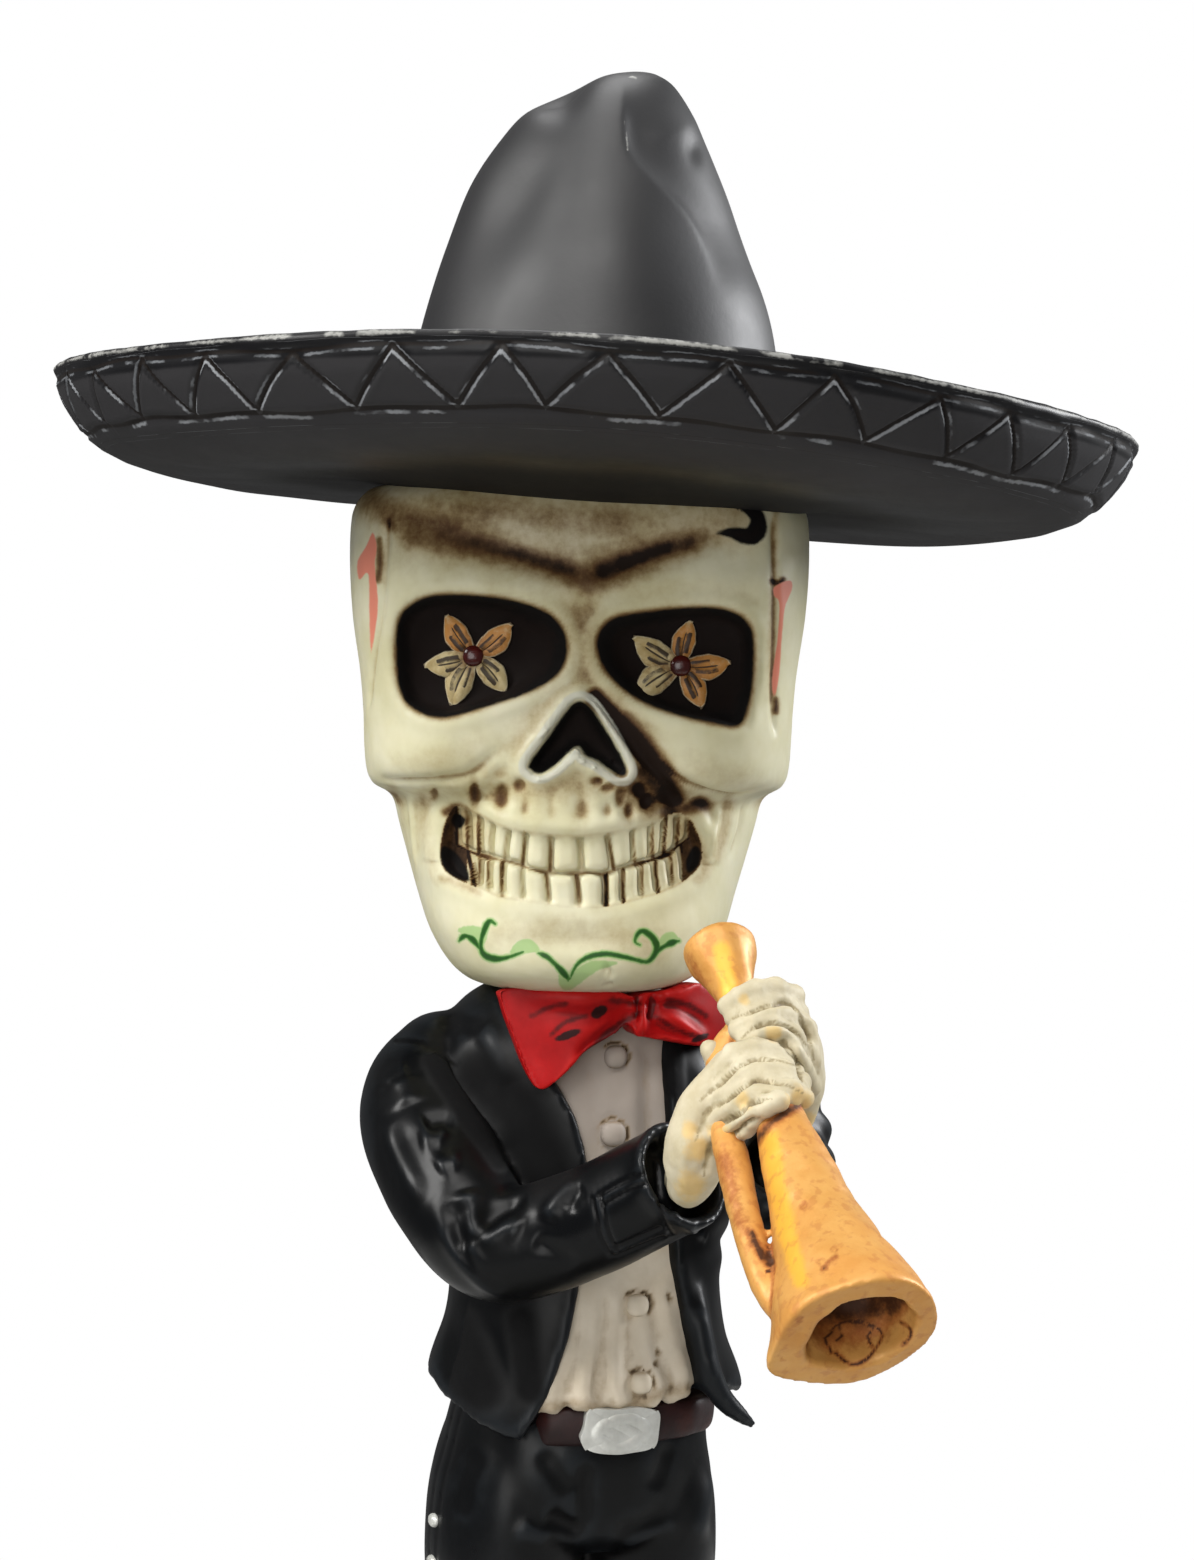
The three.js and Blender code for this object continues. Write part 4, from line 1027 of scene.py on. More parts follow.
def makeSkull():
    parts = [
        tower("cranium", skullForm["cranium"], 180, 110),
        tower("jaw", skullForm["jaw"], 160, 90),
        tower("muzzle", skullForm["muzzle"], 140, 80, cap=0.06),
    ]
    skull = weld("skull", parts, skullForm["voxel"])
    relax(skull, 4)

    # the large hollows: sockets, mouth and nose
    spots = spotsOf(skull)
    seen = inPhoto(spots, skullPlace)
    front = ease(-spots[:, 1], 4, 7)
    for name, side in (("leftSocket", -1), ("rightSocket", 1)):
        gap = faceGap(seen, name)
        swing = math.tan(math.radians(skullForm["socketSwing"]))
        floor = skullForm["socketFloor"] + swing * (spots[:, 0] * side - 7)
        inner = ease(-side * spots[:, 0], -6.5, -2.5)
        share = ease(-gap, -0.15, 0.75 + 1.5 * inner) * front
        spots[:, 1] += np.maximum(floor - spots[:, 1], 0) * share
    gap = faceGap(seen, "mouth")
    inward = np.stack([-(spots[:, 0] + 0.5), -(spots[:, 1] + 5), 0 * gap], axis=1)
    inward /= np.maximum(np.linalg.norm(inward, axis=1), 1e-6)[:, None]
    spots += inward * (skullForm["lipDepth"] * ease(-gap, -0.05, 0.6) * front)[:, None]
    gap = faceGap(seen, "nose")
    rim = skullForm["noseRim"] * bell(gap - 0.42, 0.42) + 0.3 * ease(-gap, -2.2, -0.4)
    spots[:, 1] += (skullForm["noseDepth"] * ease(-gap, -0.1, 0.6) - rim) * front
    moveTo(skull, spots)
    remesh(skull, skullForm["skinVoxel"])
    relax(skull, 2)
    spots = spotsOf(skull)
    x, y, z = spots.T
    refine(skull, (y < -7) & (np.abs(x) < 19.2) & (z > 0.4) & (z < 42.4))
    relax(skull, 2)

    seen = inPhoto(spotsOf(skull), skullPlace)
    near = (faceGap(seen, "mouth") < 0.7) | (faceGap(seen, "nose") < 1.1)
    refine(skull, near & (spotsOf(skull)[:, 1] < -9))

    # brow, cheeks, gums and the lines between them
    spots = spotsOf(skull)
    seen = inPhoto(spots, skullPlace)
    mouth = faceGap(seen, "mouth")
    front = ease(-spots[:, 1], 5, 8)
    x, z = spots[:, 0], spots[:, 2]
    out = 0.4 * bell(z - 35.2 - 0.05 * np.abs(x), 1.5) * ease(18 - np.abs(x), 0, 3)
    out += 0.45 * bell(np.hypot((np.abs(x) - 12.4) / 5, (z - 21.6) / 2.6), 1)
    for name in ("leftSocket", "rightSocket"):
        out += 0.22 * bell(faceGap(seen, name) - 0.7, 0.7)
    # the gum roll along the mouth
    out += 0.36 * bell(mouth - 0.85, 0.75) * (z > 11.5)
    out += 0.2 * bell(mouth - 0.9, 0.8) * (z < 11.5)
    out -= 0.35 * bell(z - 4.9, 1.1) * bell(x + 0.4, 6)
    push(skull, out * front)
    lines = []
    for line in facePixels["cheekLines"]:
        lines.append((line, 0.55, 0.5, 0.35))
        lines.append(([(px, py - facePixels["ridgeAbove"]) for px, py in line[:6]], 1.6, -0.22, 0.35))
    for line in facePixels["plateLines"]:
        lines.append((line, 0.5, 0.3, 0.12))
    for k, line in enumerate(facePixels["jawLines"]):
        lines.append((line, 0.5, -0.28 if k % 2 == 0 else 0.22, 0.35))
    for line in facePixels["brow"]:
        lines.append((line, 1.5, 0.34, 0.15))
        lines.append(([(px, py + facePixels["hollowBelow"]) for px, py in line], 1.6, -0.22, 0.15))
    draw(skull, skullPlace, lines)

    spots = spotsOf(skull)
    seen = inPhoto(spots, skullPlace)
    sink = np.zeros(len(spots))
    for px, py, wide, tall, strength in facePixels["pits"]:
        sink = np.maximum(sink, 0.55 * strength * bell(toSpot(seen, px, py, wide, tall), 1.1))
    groove, along = toPath(seen, spline(facePixels["cheekGroove"], 30), 60)
    sink = np.maximum(sink, (0.35 + 0.5 * np.sin(np.pi * along)) * bell(groove / faceMm, 0.62))
    stands, _ = teethAt(seen)
    sink += skullForm["mouthDepth"] * ease(-faceGap(seen, "mouth"), -0.05, 0.5) * (1 - stands)
    blemish = toSpot(seen, *facePixels["blemish"])
    sink += 0.22 * bell(blemish - 0.9, 0.45) * (0.5 + 0.8 * wander(spots, 0.9, 2))
    sink += 0.03 * wander(spots, 1.6, 4) + 0.045 * wander(spots, 5, 7)
    push(skull, -sink * front)
    relax(skull, 1, 0.35)
    refine(skull, (np.abs(x) < 11) & (z > 0.9) & (z < 7.2) & (spots[:, 1] < -12))
    paintSkull(skull)
    makeFlowers(skull)
    place(skull, skullPlace, "head_with_sombrero", bonePaint)
    print("skull ready")


def paintSkull(skull):
    # signed distances, in millimetres, to each painted shape, and the strength of the brown glaze and painted
    # shade
    spots = spotsOf(skull)
    seen = inPhoto(spots, skullPlace)
    front = (spots[:, 1] < -5) & (moved(skullPlace, spots) @ awayWay < 0)
    crease = hollows(skull, 14)
    black = np.minimum(faceGap(seen, "leftSocket"), faceGap(seen, "rightSocket")) - 0.08
    black = np.minimum(black, faceGap(seen, "nose") + 0.12)
    for shape in [*facePixels["pockets"], facePixels["comma"]]:
        black = np.minimum(black, shapeGap(seen, shape))
    glazeAndShade = np.zeros(len(spots))
    for line, width, strength in facePixels["glazeAndShade"]:
        gap, _ = toPath(seen, spline(line, 14), 3 * width * faceMm)
        glazeAndShade = np.maximum(glazeAndShade, strength * bell(gap / faceMm, width))
    mouth = faceGap(seen, "mouth")
    _, wash = teethAt(seen)
    ends = np.interp(seen[:, 0], *np.array(facePixels["biteEnds"]).T)
    glazeAndShade = np.where(mouth < 0.05, np.maximum(wash, ends), glazeAndShade)
    glazeAndShade = np.maximum(glazeAndShade, (0.25 + 0.6 * ends) * bell(mouth, 0.22))
    glazeAndShade = np.maximum(glazeAndShade, 0.4 * bell(toSpot(seen, *facePixels["mottled"]), 1))
    for px, py, wide, tall, strength in facePixels["pits"]:
        glazeAndShade = np.maximum(glazeAndShade, 0.74 * strength * bell(toSpot(seen, px, py, 1.15 * wide, 1.4 * tall), 1.2))
    smoke = np.minimum(faceGap(seen, "leftSocket"), faceGap(seen, "rightSocket"))
    glazeAndShade = np.maximum(glazeAndShade, 0.75 * bell(np.maximum(smoke, 0), 0.42))
    glazeAndShade = np.where(front, glazeAndShade, 0.12)
    # painted shade in the creases
    glazeAndShade = np.clip(glazeAndShade + 3.5 * np.clip(crease, 0, 0.12) * (mouth > 0.1), 0, 1.6)
    leafDark = np.full(len(spots), 9.0)
    leafLight = np.full(len(spots), 9.0)
    for line in facePixels["scroll"]:
        gap, along = toPath(seen, spline(line, 40), 60)
        half = 0.09 + 0.25 * np.sin(np.pi * np.clip(along, 0, 1)) * (0.7 + 0.3 * np.sin(11 * along))
        leafDark = np.minimum(leafDark, gap / faceMm - half)
    for line in facePixels["scrollShade"]:
        gap, along = toPath(seen, spline(line, 24), 60)
        leafLight = np.minimum(leafLight, gap / faceMm - 0.16 - 0.45 * np.sin(np.pi * np.clip(along, 0, 1)))
    leafLight = np.minimum(leafLight, leafDark - 0.12)
    coral = np.full(len(spots), 9.0)
    for shape in facePixels["coral"]:
        coral = np.minimum(coral, shapeGap(seen, shape))
    # small leaves on the temples, which the photograph shows only edge on
    temple = np.abs(spots[:, 0]) > 17
    for sideY, sideZ, lean in ((-4, 34, 0.6), (-1, 29, -0.5), (-6, 24.5, 0.4)):
        dy, dz = spots[:, 1] - sideY, spots[:, 2] - sideZ
        a, b = dy + lean * dz, dz - lean * dy
        leaf = np.hypot(a / 0.45, b / 1.5) - 1
        leafDark = np.where(temple, np.minimum(leafDark, leaf * 0.4), leafDark)
    # painted highlight: a pale ring on the rim of the nose, and paler on the ridges
    ring = 1.2 * bell(faceGap(seen, "nose") - 0.4, 0.42)
    shapes = {"black": black, "leafDark": leafDark, "leafLight": leafLight, "coral": coral}
    for name, values in shapes.items():
        note(skull, name, np.where(front | (name == "leafDark") & temple, np.clip(values, -3, 9), 9))
    note(skull, "glazeAndShade", glazeAndShade)
    note(skull, "pale", np.where(front, ring, 0) + 2.2 * np.clip(-crease, 0, 0.2))


def rounded(name, half, power=3.2, around=26, tall=18):
    # a soft-cornered block
    def shape(turn, rise):
        polar = (rise - 0.5) * np.pi
        unit = np.stack([np.cos(polar) * np.cos(turn), np.cos(polar) * np.sin(turn), np.sin(polar)], axis=1)
        unit /= ((np.abs(unit) ** power).sum(axis=1) ** (1 / power))[:, None]
        return unit * np.array(half)

    return ball(name, around, tall, shape)


def teethAt(seen):
    # how far a tooth stands up behind each pixel, from 0 to 1, and how dark the wash round it is
    bite = np.array(facePixels["bite"], float)
    outline = spline(facePixels["mouth"], 240, True)
    upperRoots, lowerRoots = facePixels["rootLevels"]
    x, y = seen[:, 0], seen[:, 1]
    biteAt = np.interp(x, bite[:, 0], bite[:, 1])
    stands = np.zeros(len(x))
    wash = np.zeros(len(x))
    for gaps, isUpper in ((facePixels["upperGaps"], True), (facePixels["lowerGaps"], False)):
        edge = outline[outline[:, 1] < upperRoots] if isUpper else outline[outline[:, 1] > lowerRoots]
        edge = edge[np.argsort(edge[:, 0])]
        rootAt = np.interp(x, edge[:, 0], edge[:, 1])
        share = np.clip((y - biteAt) / (rootAt - biteAt), 0, 1)
        side = np.full(len(x), 9.0)
        dark = np.zeros(len(x))
        for k, (root, tip, half, strength) in enumerate(gaps):
            # gaps narrow where the tooth swells, and are widest at their ends
            middle = tip + (root - tip) * share + 0.8 * np.sin(share * np.pi + k)
            away = np.abs(x - middle) - half * (0.75 + 0.5 * np.abs(share - 0.5))
            side = np.minimum(side, away / faceMm)
            faded = strength * (1 - 0.45 * ease(share, 0.55, 1) * (strength < 1.1))
            dark = np.maximum(dark, faded * ease(-away, -2.6, 0.6))
        tip = (np.abs(y - biteAt) - 1.1 - 0.6 * np.sin(x * 0.21)) / faceMm
        # the corner between the side and the tip is round
        near = -np.log(np.exp(-7 * side) + np.exp(-7 * tip)) / 7
        between = (x > gaps[0][1]) & (x < gaps[-1][1])
        here = (y < biteAt) if isUpper else (y >= biteAt)
        rise = ease(near, -0.05, 0.26) * (0.8 + 0.2 * ease(near, 0.05, 0.8))
        rise = np.maximum(rise, 0.8 * ease(share, 0.72, 1) * (dark < 0.8))
        stands = np.where(here & between, rise, stands)
        biteDark = np.interp(x, *np.array(facePixels["biteWash"]).T) * ease(-tip, -0.2, 0.06)
        roots = 0.3 * bell(share - 1, 0.14)
        wash = np.where(here, np.where(between, np.maximum(np.maximum(dark, biteDark), roots), 1.0), wash)
    return stands, wash


flowerForm = {"petalWidth": 0.26, "thick": 0.2, "lift": 0.08, "bead": 0.92}


def makeFlowers(skull):
    for index, pixels in enumerate(facePixels["flowers"]):
        hits = onto(treeOf(skull), pixels, skullPlace)
        centre, outward = hits[0, :3], hits[0, 3:]
        outward = outward / np.linalg.norm(outward)
        petals = []
        for k, hit in enumerate(hits[1:]):
            reach = hit[:3] - centre
            reach = reach - reach @ outward * outward
            length = np.linalg.norm(reach)
            along = reach / length
            across = np.cross(along, outward)
            petal = grid("petal", 26, 12)
            flat = spotsOf(petal)
            u, v = (flat[:, 0] + 1) / 2, flat[:, 1]
            taper = np.interp(u, [0, 0.15, 0.35, 0.55, 0.75, 0.9, 1], [0.4, 0.55, 0.86, 1, 0.74, 0.34, 0.03])
            half = flowerForm["petalWidth"] * length * taper
            half = np.maximum(half, 0.05)
            height = flowerForm["lift"] + 0.3 * (1 - v**2) * np.sin(np.pi * u)
            height = height - 0.2 * bell(v, 0.2) * ease(1 - u, 0.1, 0.4)
            height = height + 0.1 * u + 0.05 * np.sin(9 * u + 3 * v + k)
            bow = 0.06 * length * np.sin(np.pi * u) * (1 if k % 2 else -1)
            spots = (
                centre
                + along * (u * length * 1.02)[:, None]
                + across * (v * half + bow)[:, None]
                + outward * height[:, None]
            )
            moveTo(petal, spots)
            strokes = np.abs(v * half) + 0.25 * ease(u, 0.68, 0.8)
            for offset, low, high in ((0.42, 0.3, 0.72), (-0.46, 0.22, 0.58)):
                ends = 1 - ease(u, low - 0.06, low) * ease(high - u, -0.06, 0)
                beside = np.abs((v - offset) * half) + 0.25 * ends
                strokes = np.minimum(strokes, beside + (0.03 if k % 2 else 0.0))
            note(petal, "vein", strokes - 0.03)
            note(petal, "edge", (1 - np.abs(v)) * half + 0.02 * np.sin(23 * u))
            note(petal, "wash", 1 - u + 0.25 * np.abs(v))
            amber = 1.0 if k < 2 + index else 0.2
            note(petal, "amber", amber - 0.35 * u + 0.1 * np.abs(v))
            modify(petal, "SOLIDIFY", thickness=flowerForm["thick"], offset=-1)
            petals.append(petal)
        flower = joined("eye_flower_left" if index == 0 else "eye_flower_right", petals)
        place(flower, skullPlace, "head_with_sombrero", petalPaint)
        bead = rounded(f"flower_bead_{index}", (flowerForm["bead"], 0.5, flowerForm["bead"]), power=2.2)
        bead.data.transform(shiftBy(centre + outward * 0.35))
        place(bead, skullPlace, "head_with_sombrero", beadPaint)


# Ivory acrylic under a rubbed umber glaze with painted shade, waxy: the light goes a little way in
bonePaint = paintOf(
    "waxy_ivory_acrylic", coat="#dcd8bb", coatTwo="#cdc8a2", rough=0.34, mottle=8, grain=0.8, bump=0.14,
    swell=0.06, soft=0.1, shine=0.2,
    layers=[
        # brown glaze and painted shade, in three strengths
        layer("glazeAndShade", 0.06, 0.8, "#967842", ragged=0.16, patchy=0.34, cover=0.82),
        layer("glazeAndShade", 0.42, 1.0, "#4d2c10", ragged=0.24, patchy=0.42, cover=0.9, rough=0.5),
        layer("glazeAndShade", 0.85, 1.15, "#120602", ragged=0.16, patchy=0.2, cover=0.96, rough=0.7),
        # painted highlight on the nose's rim and the ridges
        layer("pale", 0.35, 0.9, "#c9c9ba", ragged=0.2, cover=0.85),
        layer("coral", 0.05, -0.1, "#df8a74", ragged=0.06, rough=0.4),
        layer("leafLight", 0.1, -0.1, "#8fb970", ragged=0.16, patchy=0.12, cover=0.75),
        layer("leafDark", 0.06, -0.06, "#477c38", ragged=0.07, patchy=0.1),
        layer("leafDark", -0.04, -0.16, "#244c20", ragged=0.1, patchy=0.14, cover=0.9),
        layer("black", 0.14, -0.16, "#080504", ragged=0.14, patchy=0.08, rough=0.78),
        layer("black", -0.3, -1.3, "#1c0e08", ragged=0.6, patchy=1.4, cover=0.4),
    ],
)

# Cream petals brushed with amber, veined and edged in brown
petalPaint = paintOf(
    "brushed_petal_acrylic", coat="#cbbb8e", coatTwo="#b19a66", rough=0.45, mottle=1.2, grain=0.3, bump=0.3,
    shine=0.35,
    layers=[
        layer("amber", 0.3, 0.85, "#b87a33", ragged=0.25, patchy=0.3, cover=0.9),
        layer("wash", 0.55, 1.05, "#6b4420", ragged=0.2, patchy=0.3, cover=0.7),
        layer("edge", 0.16, 0.06, "#d8cfae", ragged=0.08, cover=0.7),
        layer("edge", 0.09, 0.02, "#3f2714", ragged=0.08, cover=0.8),
        layer("vein", 0.15, 0.06, "#241408", ragged=0.06, cover=0.95),
    ],
)

# Dark red gloss, the bead in the middle of each flower
beadPaint = paintOf(
    "oxblood_gloss_acrylic", coat="#4a1410", coatTwo="#36100d", rough=0.16, mottle=1.5, grain=0.3, bump=0.2,
)

makeSkull()

# Jacket with its sleeves

jacket = {
    "voxel": 0.42,
    # height over the base, half width, front and back, and the squareness where it is another; the first
    # rings run up inside the hem
    "rings": [
        (53, 11.0, 10.2, 9.2), (47, 12.6, 11.4, 10.4), (45.6, 13.3, 11.9, 10.9), (45.9, 14.1, 12.5, 11.5),
        (48, 13.6, 12.8, 11.3), (52, 12.4, 12.7, 10.6), (58, 12.0, 12.6, 10.1), (66, 12.7, 12.5, 10.1),
        (73, 13.8, 12.3, 10.2), (78.6, 14.4, 11.8, 10.2), (83, 13.5, 10.6, 9.4, 2.3, 2.3, 0),
        (86.4, 11.0, 8.6, 7.9, 2.2, 2.2, 0), (88.2, 8.0, 6.6, 6.0, 2, 2, 0),
    ],
    # the lowest ring, then degrees from the front towards the figure's right and the hem's height there
    "hemRing": 45.6,
    "hem": [
        (0, 50), (25, 49.4), (40, 48.3), (61, 49.4), (80, 51.2), (92, 52.5), (130, 52.3), (180, 51.6),
        (240, 51.4), (290, 51), (325, 51.6), (360, 50),
    ],
    # outline of the open front in the photograph
    "opening": [
        (500, 950), (504, 975), (512, 1010), (530, 1056), (560, 1086), (577, 1116), (586, 1146), (590, 1180),
        (589, 1240), (579, 1298), (572, 1335), (559, 1375), (546, 1404), (524, 1438), (520, 1490),
        (745, 1490), (716, 1412), (701, 1384), (688, 1325), (675, 1265), (671, 1180), (669, 1106),
        (665, 1040), (676, 1010), (684, 975), (684, 950),
    ],
    "openDepth": 3.0,
    "perMm": 11.4,  # pixels to the millimetre on the jacket's front
    "sleeveBox": (376, 724, 1060, 1312),
    # the left tail: x, y, distance beyond the axis, half width and half depth
    "tail": [
        (688, 1262, -6.6, 0.7, 1.2), (695, 1296, -7.4, 0.9, 1.4), (702, 1330, -7.8, 0.95, 1.5),
        (709, 1368, -7.8, 1.05, 1.5), (721, 1396, -7.2, 1.05, 1.3), (738, 1413, -6.4, 0.85, 1.0),
        (751, 1423, -5.8, 0.55, 0.6),
    ],
    # sleeves: x, y, z, half width
    "right": [
        (-12.4, 2.4, 80.1, 5.2), (-14.5, 1.0, 77.9, 5.6), (-15.8, -2.6, 74.8, 5.5), (-14.9, -9.2, 69.6, 5.4),
        (-12.4, -13.6, 66.2, 4.95), (-6.6, -18.2, 68.2, 4.75), (-1.8, -24.2, 71.9, 4.65),
        (-0.6, -27.0, 73.3, 4.8),
    ],
    "left": [
        (12.6, 1.6, 80.6, 5.2), (14.6, 0, 78.4, 5.6), (16.0, -5, 75.4, 5.3), (14.6, -12, 71, 4.6),
        (11.6, -17.4, 70.8, 4.3), (10.3, -21.2, 72.8, 4.05), (9.8, -23.2, 73.8, 3.85),
    ],
    # folds in pixels of the photograph: line, half width and depth in millimetres (below zero a ridge)
    "folds": [
        ([(436, 1022), (458, 1022), (487, 1030)], 0.9, 0.3),
        ([(482, 1024), (497, 1056), (509, 1086)], 1.2, -0.45),
        ([(470, 1036), (484, 1064), (494, 1094)], 1.2, 0.3),
        ([(402, 1078), (406, 1092), (410, 1106)], 1.3, -0.3),
        ([(424, 1126), (438, 1121), (455, 1122)], 1.1, 0.5),
        ([(418, 1142), (434, 1137), (448, 1139)], 1.2, -0.35),
        ([(436, 1170), (448, 1163), (461, 1163)], 1.1, -0.35),
        ([(466, 1188), (471, 1212), (478, 1240)], 1.1, -0.5),
        ([(457, 1200), (461, 1226), (469, 1250)], 1.0, 0.35),
        ([(476, 1236), (490, 1218), (506, 1206), (530, 1197)], 1.1, 0.75),
        ([(479, 1247), (496, 1233), (512, 1228), (523, 1232)], 1.0, -0.4),
        ([(547, 1224), (553, 1208), (566, 1193), (582, 1179)], 1.0, -0.5),
        ([(566, 1212), (574, 1196), (584, 1186)], 0.8, 0.35),
        ([(433, 1197), (445, 1230), (459, 1256), (482, 1282), (503, 1301)], 1.0, -0.4),
        ([(452, 1222), (464, 1250), (484, 1276), (504, 1292)], 0.7, 0.4),
        ([(466, 1228), (473, 1254), (488, 1282), (508, 1303)], 0.8, -0.3),
        ([(383, 1117), (402, 1160), (426, 1202)], 1.3, -0.35),
        ([(396, 1120), (414, 1160), (436, 1200)], 1.1, 0.3),
        ([(533, 1240), (552, 1250), (578, 1264)], 0.8, 0.3),
        ([(432, 1046), (450, 1080), (475, 1120), (505, 1160)], 2.0, -0.8),
        ([(386, 1090), (396, 1076), (410, 1070)], 1.4, -0.25),
        ([(412, 1370), (424, 1392), (446, 1402)], 1.2, 0.3),
        ([(466, 1300), (470, 1350), (462, 1396)], 1.6, -0.3),
        ([(488, 1310), (496, 1360), (492, 1410)], 1.6, 0.25),
    ],
    # stitched seams on the sleeve and its cuff
    "seams": [
        [(393, 1040), (416, 1041), (438, 1051), (460, 1065)],
        [(493, 984), (508, 1014), (524, 1048), (542, 1082)],
        [(592, 1196), (596, 1214), (601, 1236), (613, 1258)],
        [(600, 1194), (604, 1212), (610, 1234), (618, 1252)],
        [(596, 1197), (614, 1186), (630, 1178), (646, 1173)],
        [(600, 1206), (618, 1196), (634, 1188), (648, 1183)],
        [(656, 1160), (659, 1197), (664, 1221), (672, 1236)], [(613, 1248), (636, 1238), (662, 1227)],
        [(616, 1256), (640, 1246), (666, 1236)],
    ],
    # matt patches with painted shade, over the chest beside the arm and on the lower jacket: line and reach
    "dullAndShaded": [
        ([(480, 1075), (520, 1110), (548, 1170)], 34), ([(432, 1060), (470, 1120), (500, 1160)], 14),
        ([(455, 1330), (480, 1390)], 34), ([(520, 1320), (530, 1390)], 20), ([(672, 1040), (676, 1090)], 12),
    ],
    "cuffLip": [(655, 1136), (661, 1172), (671, 1210), (708, 1240)],
}


def makeJacket():
    body = tower("jacket_body", jacket["rings"], 200, 170, cap=0.08)
    spots = spotsOf(body)
    hemAngles, hemLevels = np.array(jacket["hem"], float).T
    fromFront = np.degrees(np.arctan2(-spots[:, 0], -spots[:, 1])) % 360
    offset = np.interp(fromFront, hemAngles, hemLevels) - jacket["hemRing"]
    offset += 0.25 * np.sin(np.radians(fromFront) * 7)
    reach = np.hypot(spots[:, 0], spots[:, 1])
    spots[:, 2] += offset * ease(72 - spots[:, 2], 0, 26) * ease(reach, 3, 9)
    # the back seam and the pull of the cloth towards the hips
    spots[:, :2] *= (1 - 0.02 * bell(fromFront - 180, 3) * (spots[:, 2] > 50))[:, None]
    spots[:, :2] *= (1 + 0.012 * np.sin(np.radians(fromFront) * 9 + spots[:, 2] * 0.12)
                     * ease(70 - spots[:, 2], 0, 16))[:, None]
    seen = inPhoto(spots, bodyPlace)
    gap = toOutline(seen, np.array(jacket["opening"], float)) / jacket["perMm"]
    sunk = jacket["openDepth"] * ease(-gap, -0.12, 0.5) * (spots[:, 1] < -2)
    lip = 0.35 * bell(gap - 0.55, 0.6) * (spots[:, 1] < -2)
    spots[:, 1] += sunk - lip
    moveTo(body, spots)
    tail = limb("tail", traced(jacket["tail"]), around=28, tall=60, cap=0.06, lean=tuple(awayWay))
    sleeves = [limb(f"{k}_sleeve", jacket[k], around=60, tall=130, cuff=3.4) for k in ("right", "left")]
    coat = weld("jacket", [body, tail, *sleeves], jacket["voxel"])
    relax(coat, 5)
    seen = inPhoto(spotsOf(coat), bodyPlace)
    facing = (spotsOf(coat, "normal") @ awayWay < 0.25) & (spotsOf(coat)[:, 1] < -1)
    left, right, high, low = jacket["sleeveBox"]
    sleeve = (seen[:, 0] > left) & (seen[:, 0] < right) & (seen[:, 1] > high) & (seen[:, 1] < low)
    refine(coat, facing & sleeve)
    draw(coat, bodyPlace, [(*fold, 0.3) for fold in jacket["folds"]])
    relax(coat, 4)
    seams = [(line, 0.2, 0.2, 0.06) for line in jacket["seams"]]
    draw(coat, bodyPlace, [*seams, (jacket["cuffLip"], 0.4, -0.2, 0.05)])
    spots = spotsOf(coat)
    # softer folds over the left arm, the back and the sides, which the photograph doesn't show
    side = ease(spots[:, 0], 6, 12) * ease(-spots[:, 1], -8, 4) * ease(spots[:, 2], 60, 66)
    back = ease(spots[:, 1], 3, 7)
    swell = 0.3 * np.sin(spots[:, 2] * 1.5 + spots[:, 1] * 0.5 + np.sin(spots[:, 0])) * side
    drape = np.sin(spots[:, 0] * 0.7 + 0.8 * np.sin(spots[:, 2] * 0.35))
    swell += 0.22 * drape * back * ease(72 - spots[:, 2], 0, 10)
    swell += 0.05 * wander(spots, 3.5, 3)
    push(coat, swell)
    relax(coat, 1)
    crease = hollows(coat, 16)
    note(coat, "crease", crease)
    seen = inPhoto(spotsOf(coat), bodyPlace)
    # matt patches with painted shade
    dullAndShaded = np.zeros(len(seen))
    for path, wide in jacket["dullAndShaded"]:
        gap, _ = toPath(seen, np.array(path, float))
        dullAndShaded = np.maximum(dullAndShaded, bell(gap, wide))
    note(coat, "dullAndShaded", dullAndShaded * (spotsOf(coat)[:, 1] < -3))
    place(coat, bodyPlace, "body_with_base", clothPaint)


# Shirt: pleats down the front and a ragged hem over the belt

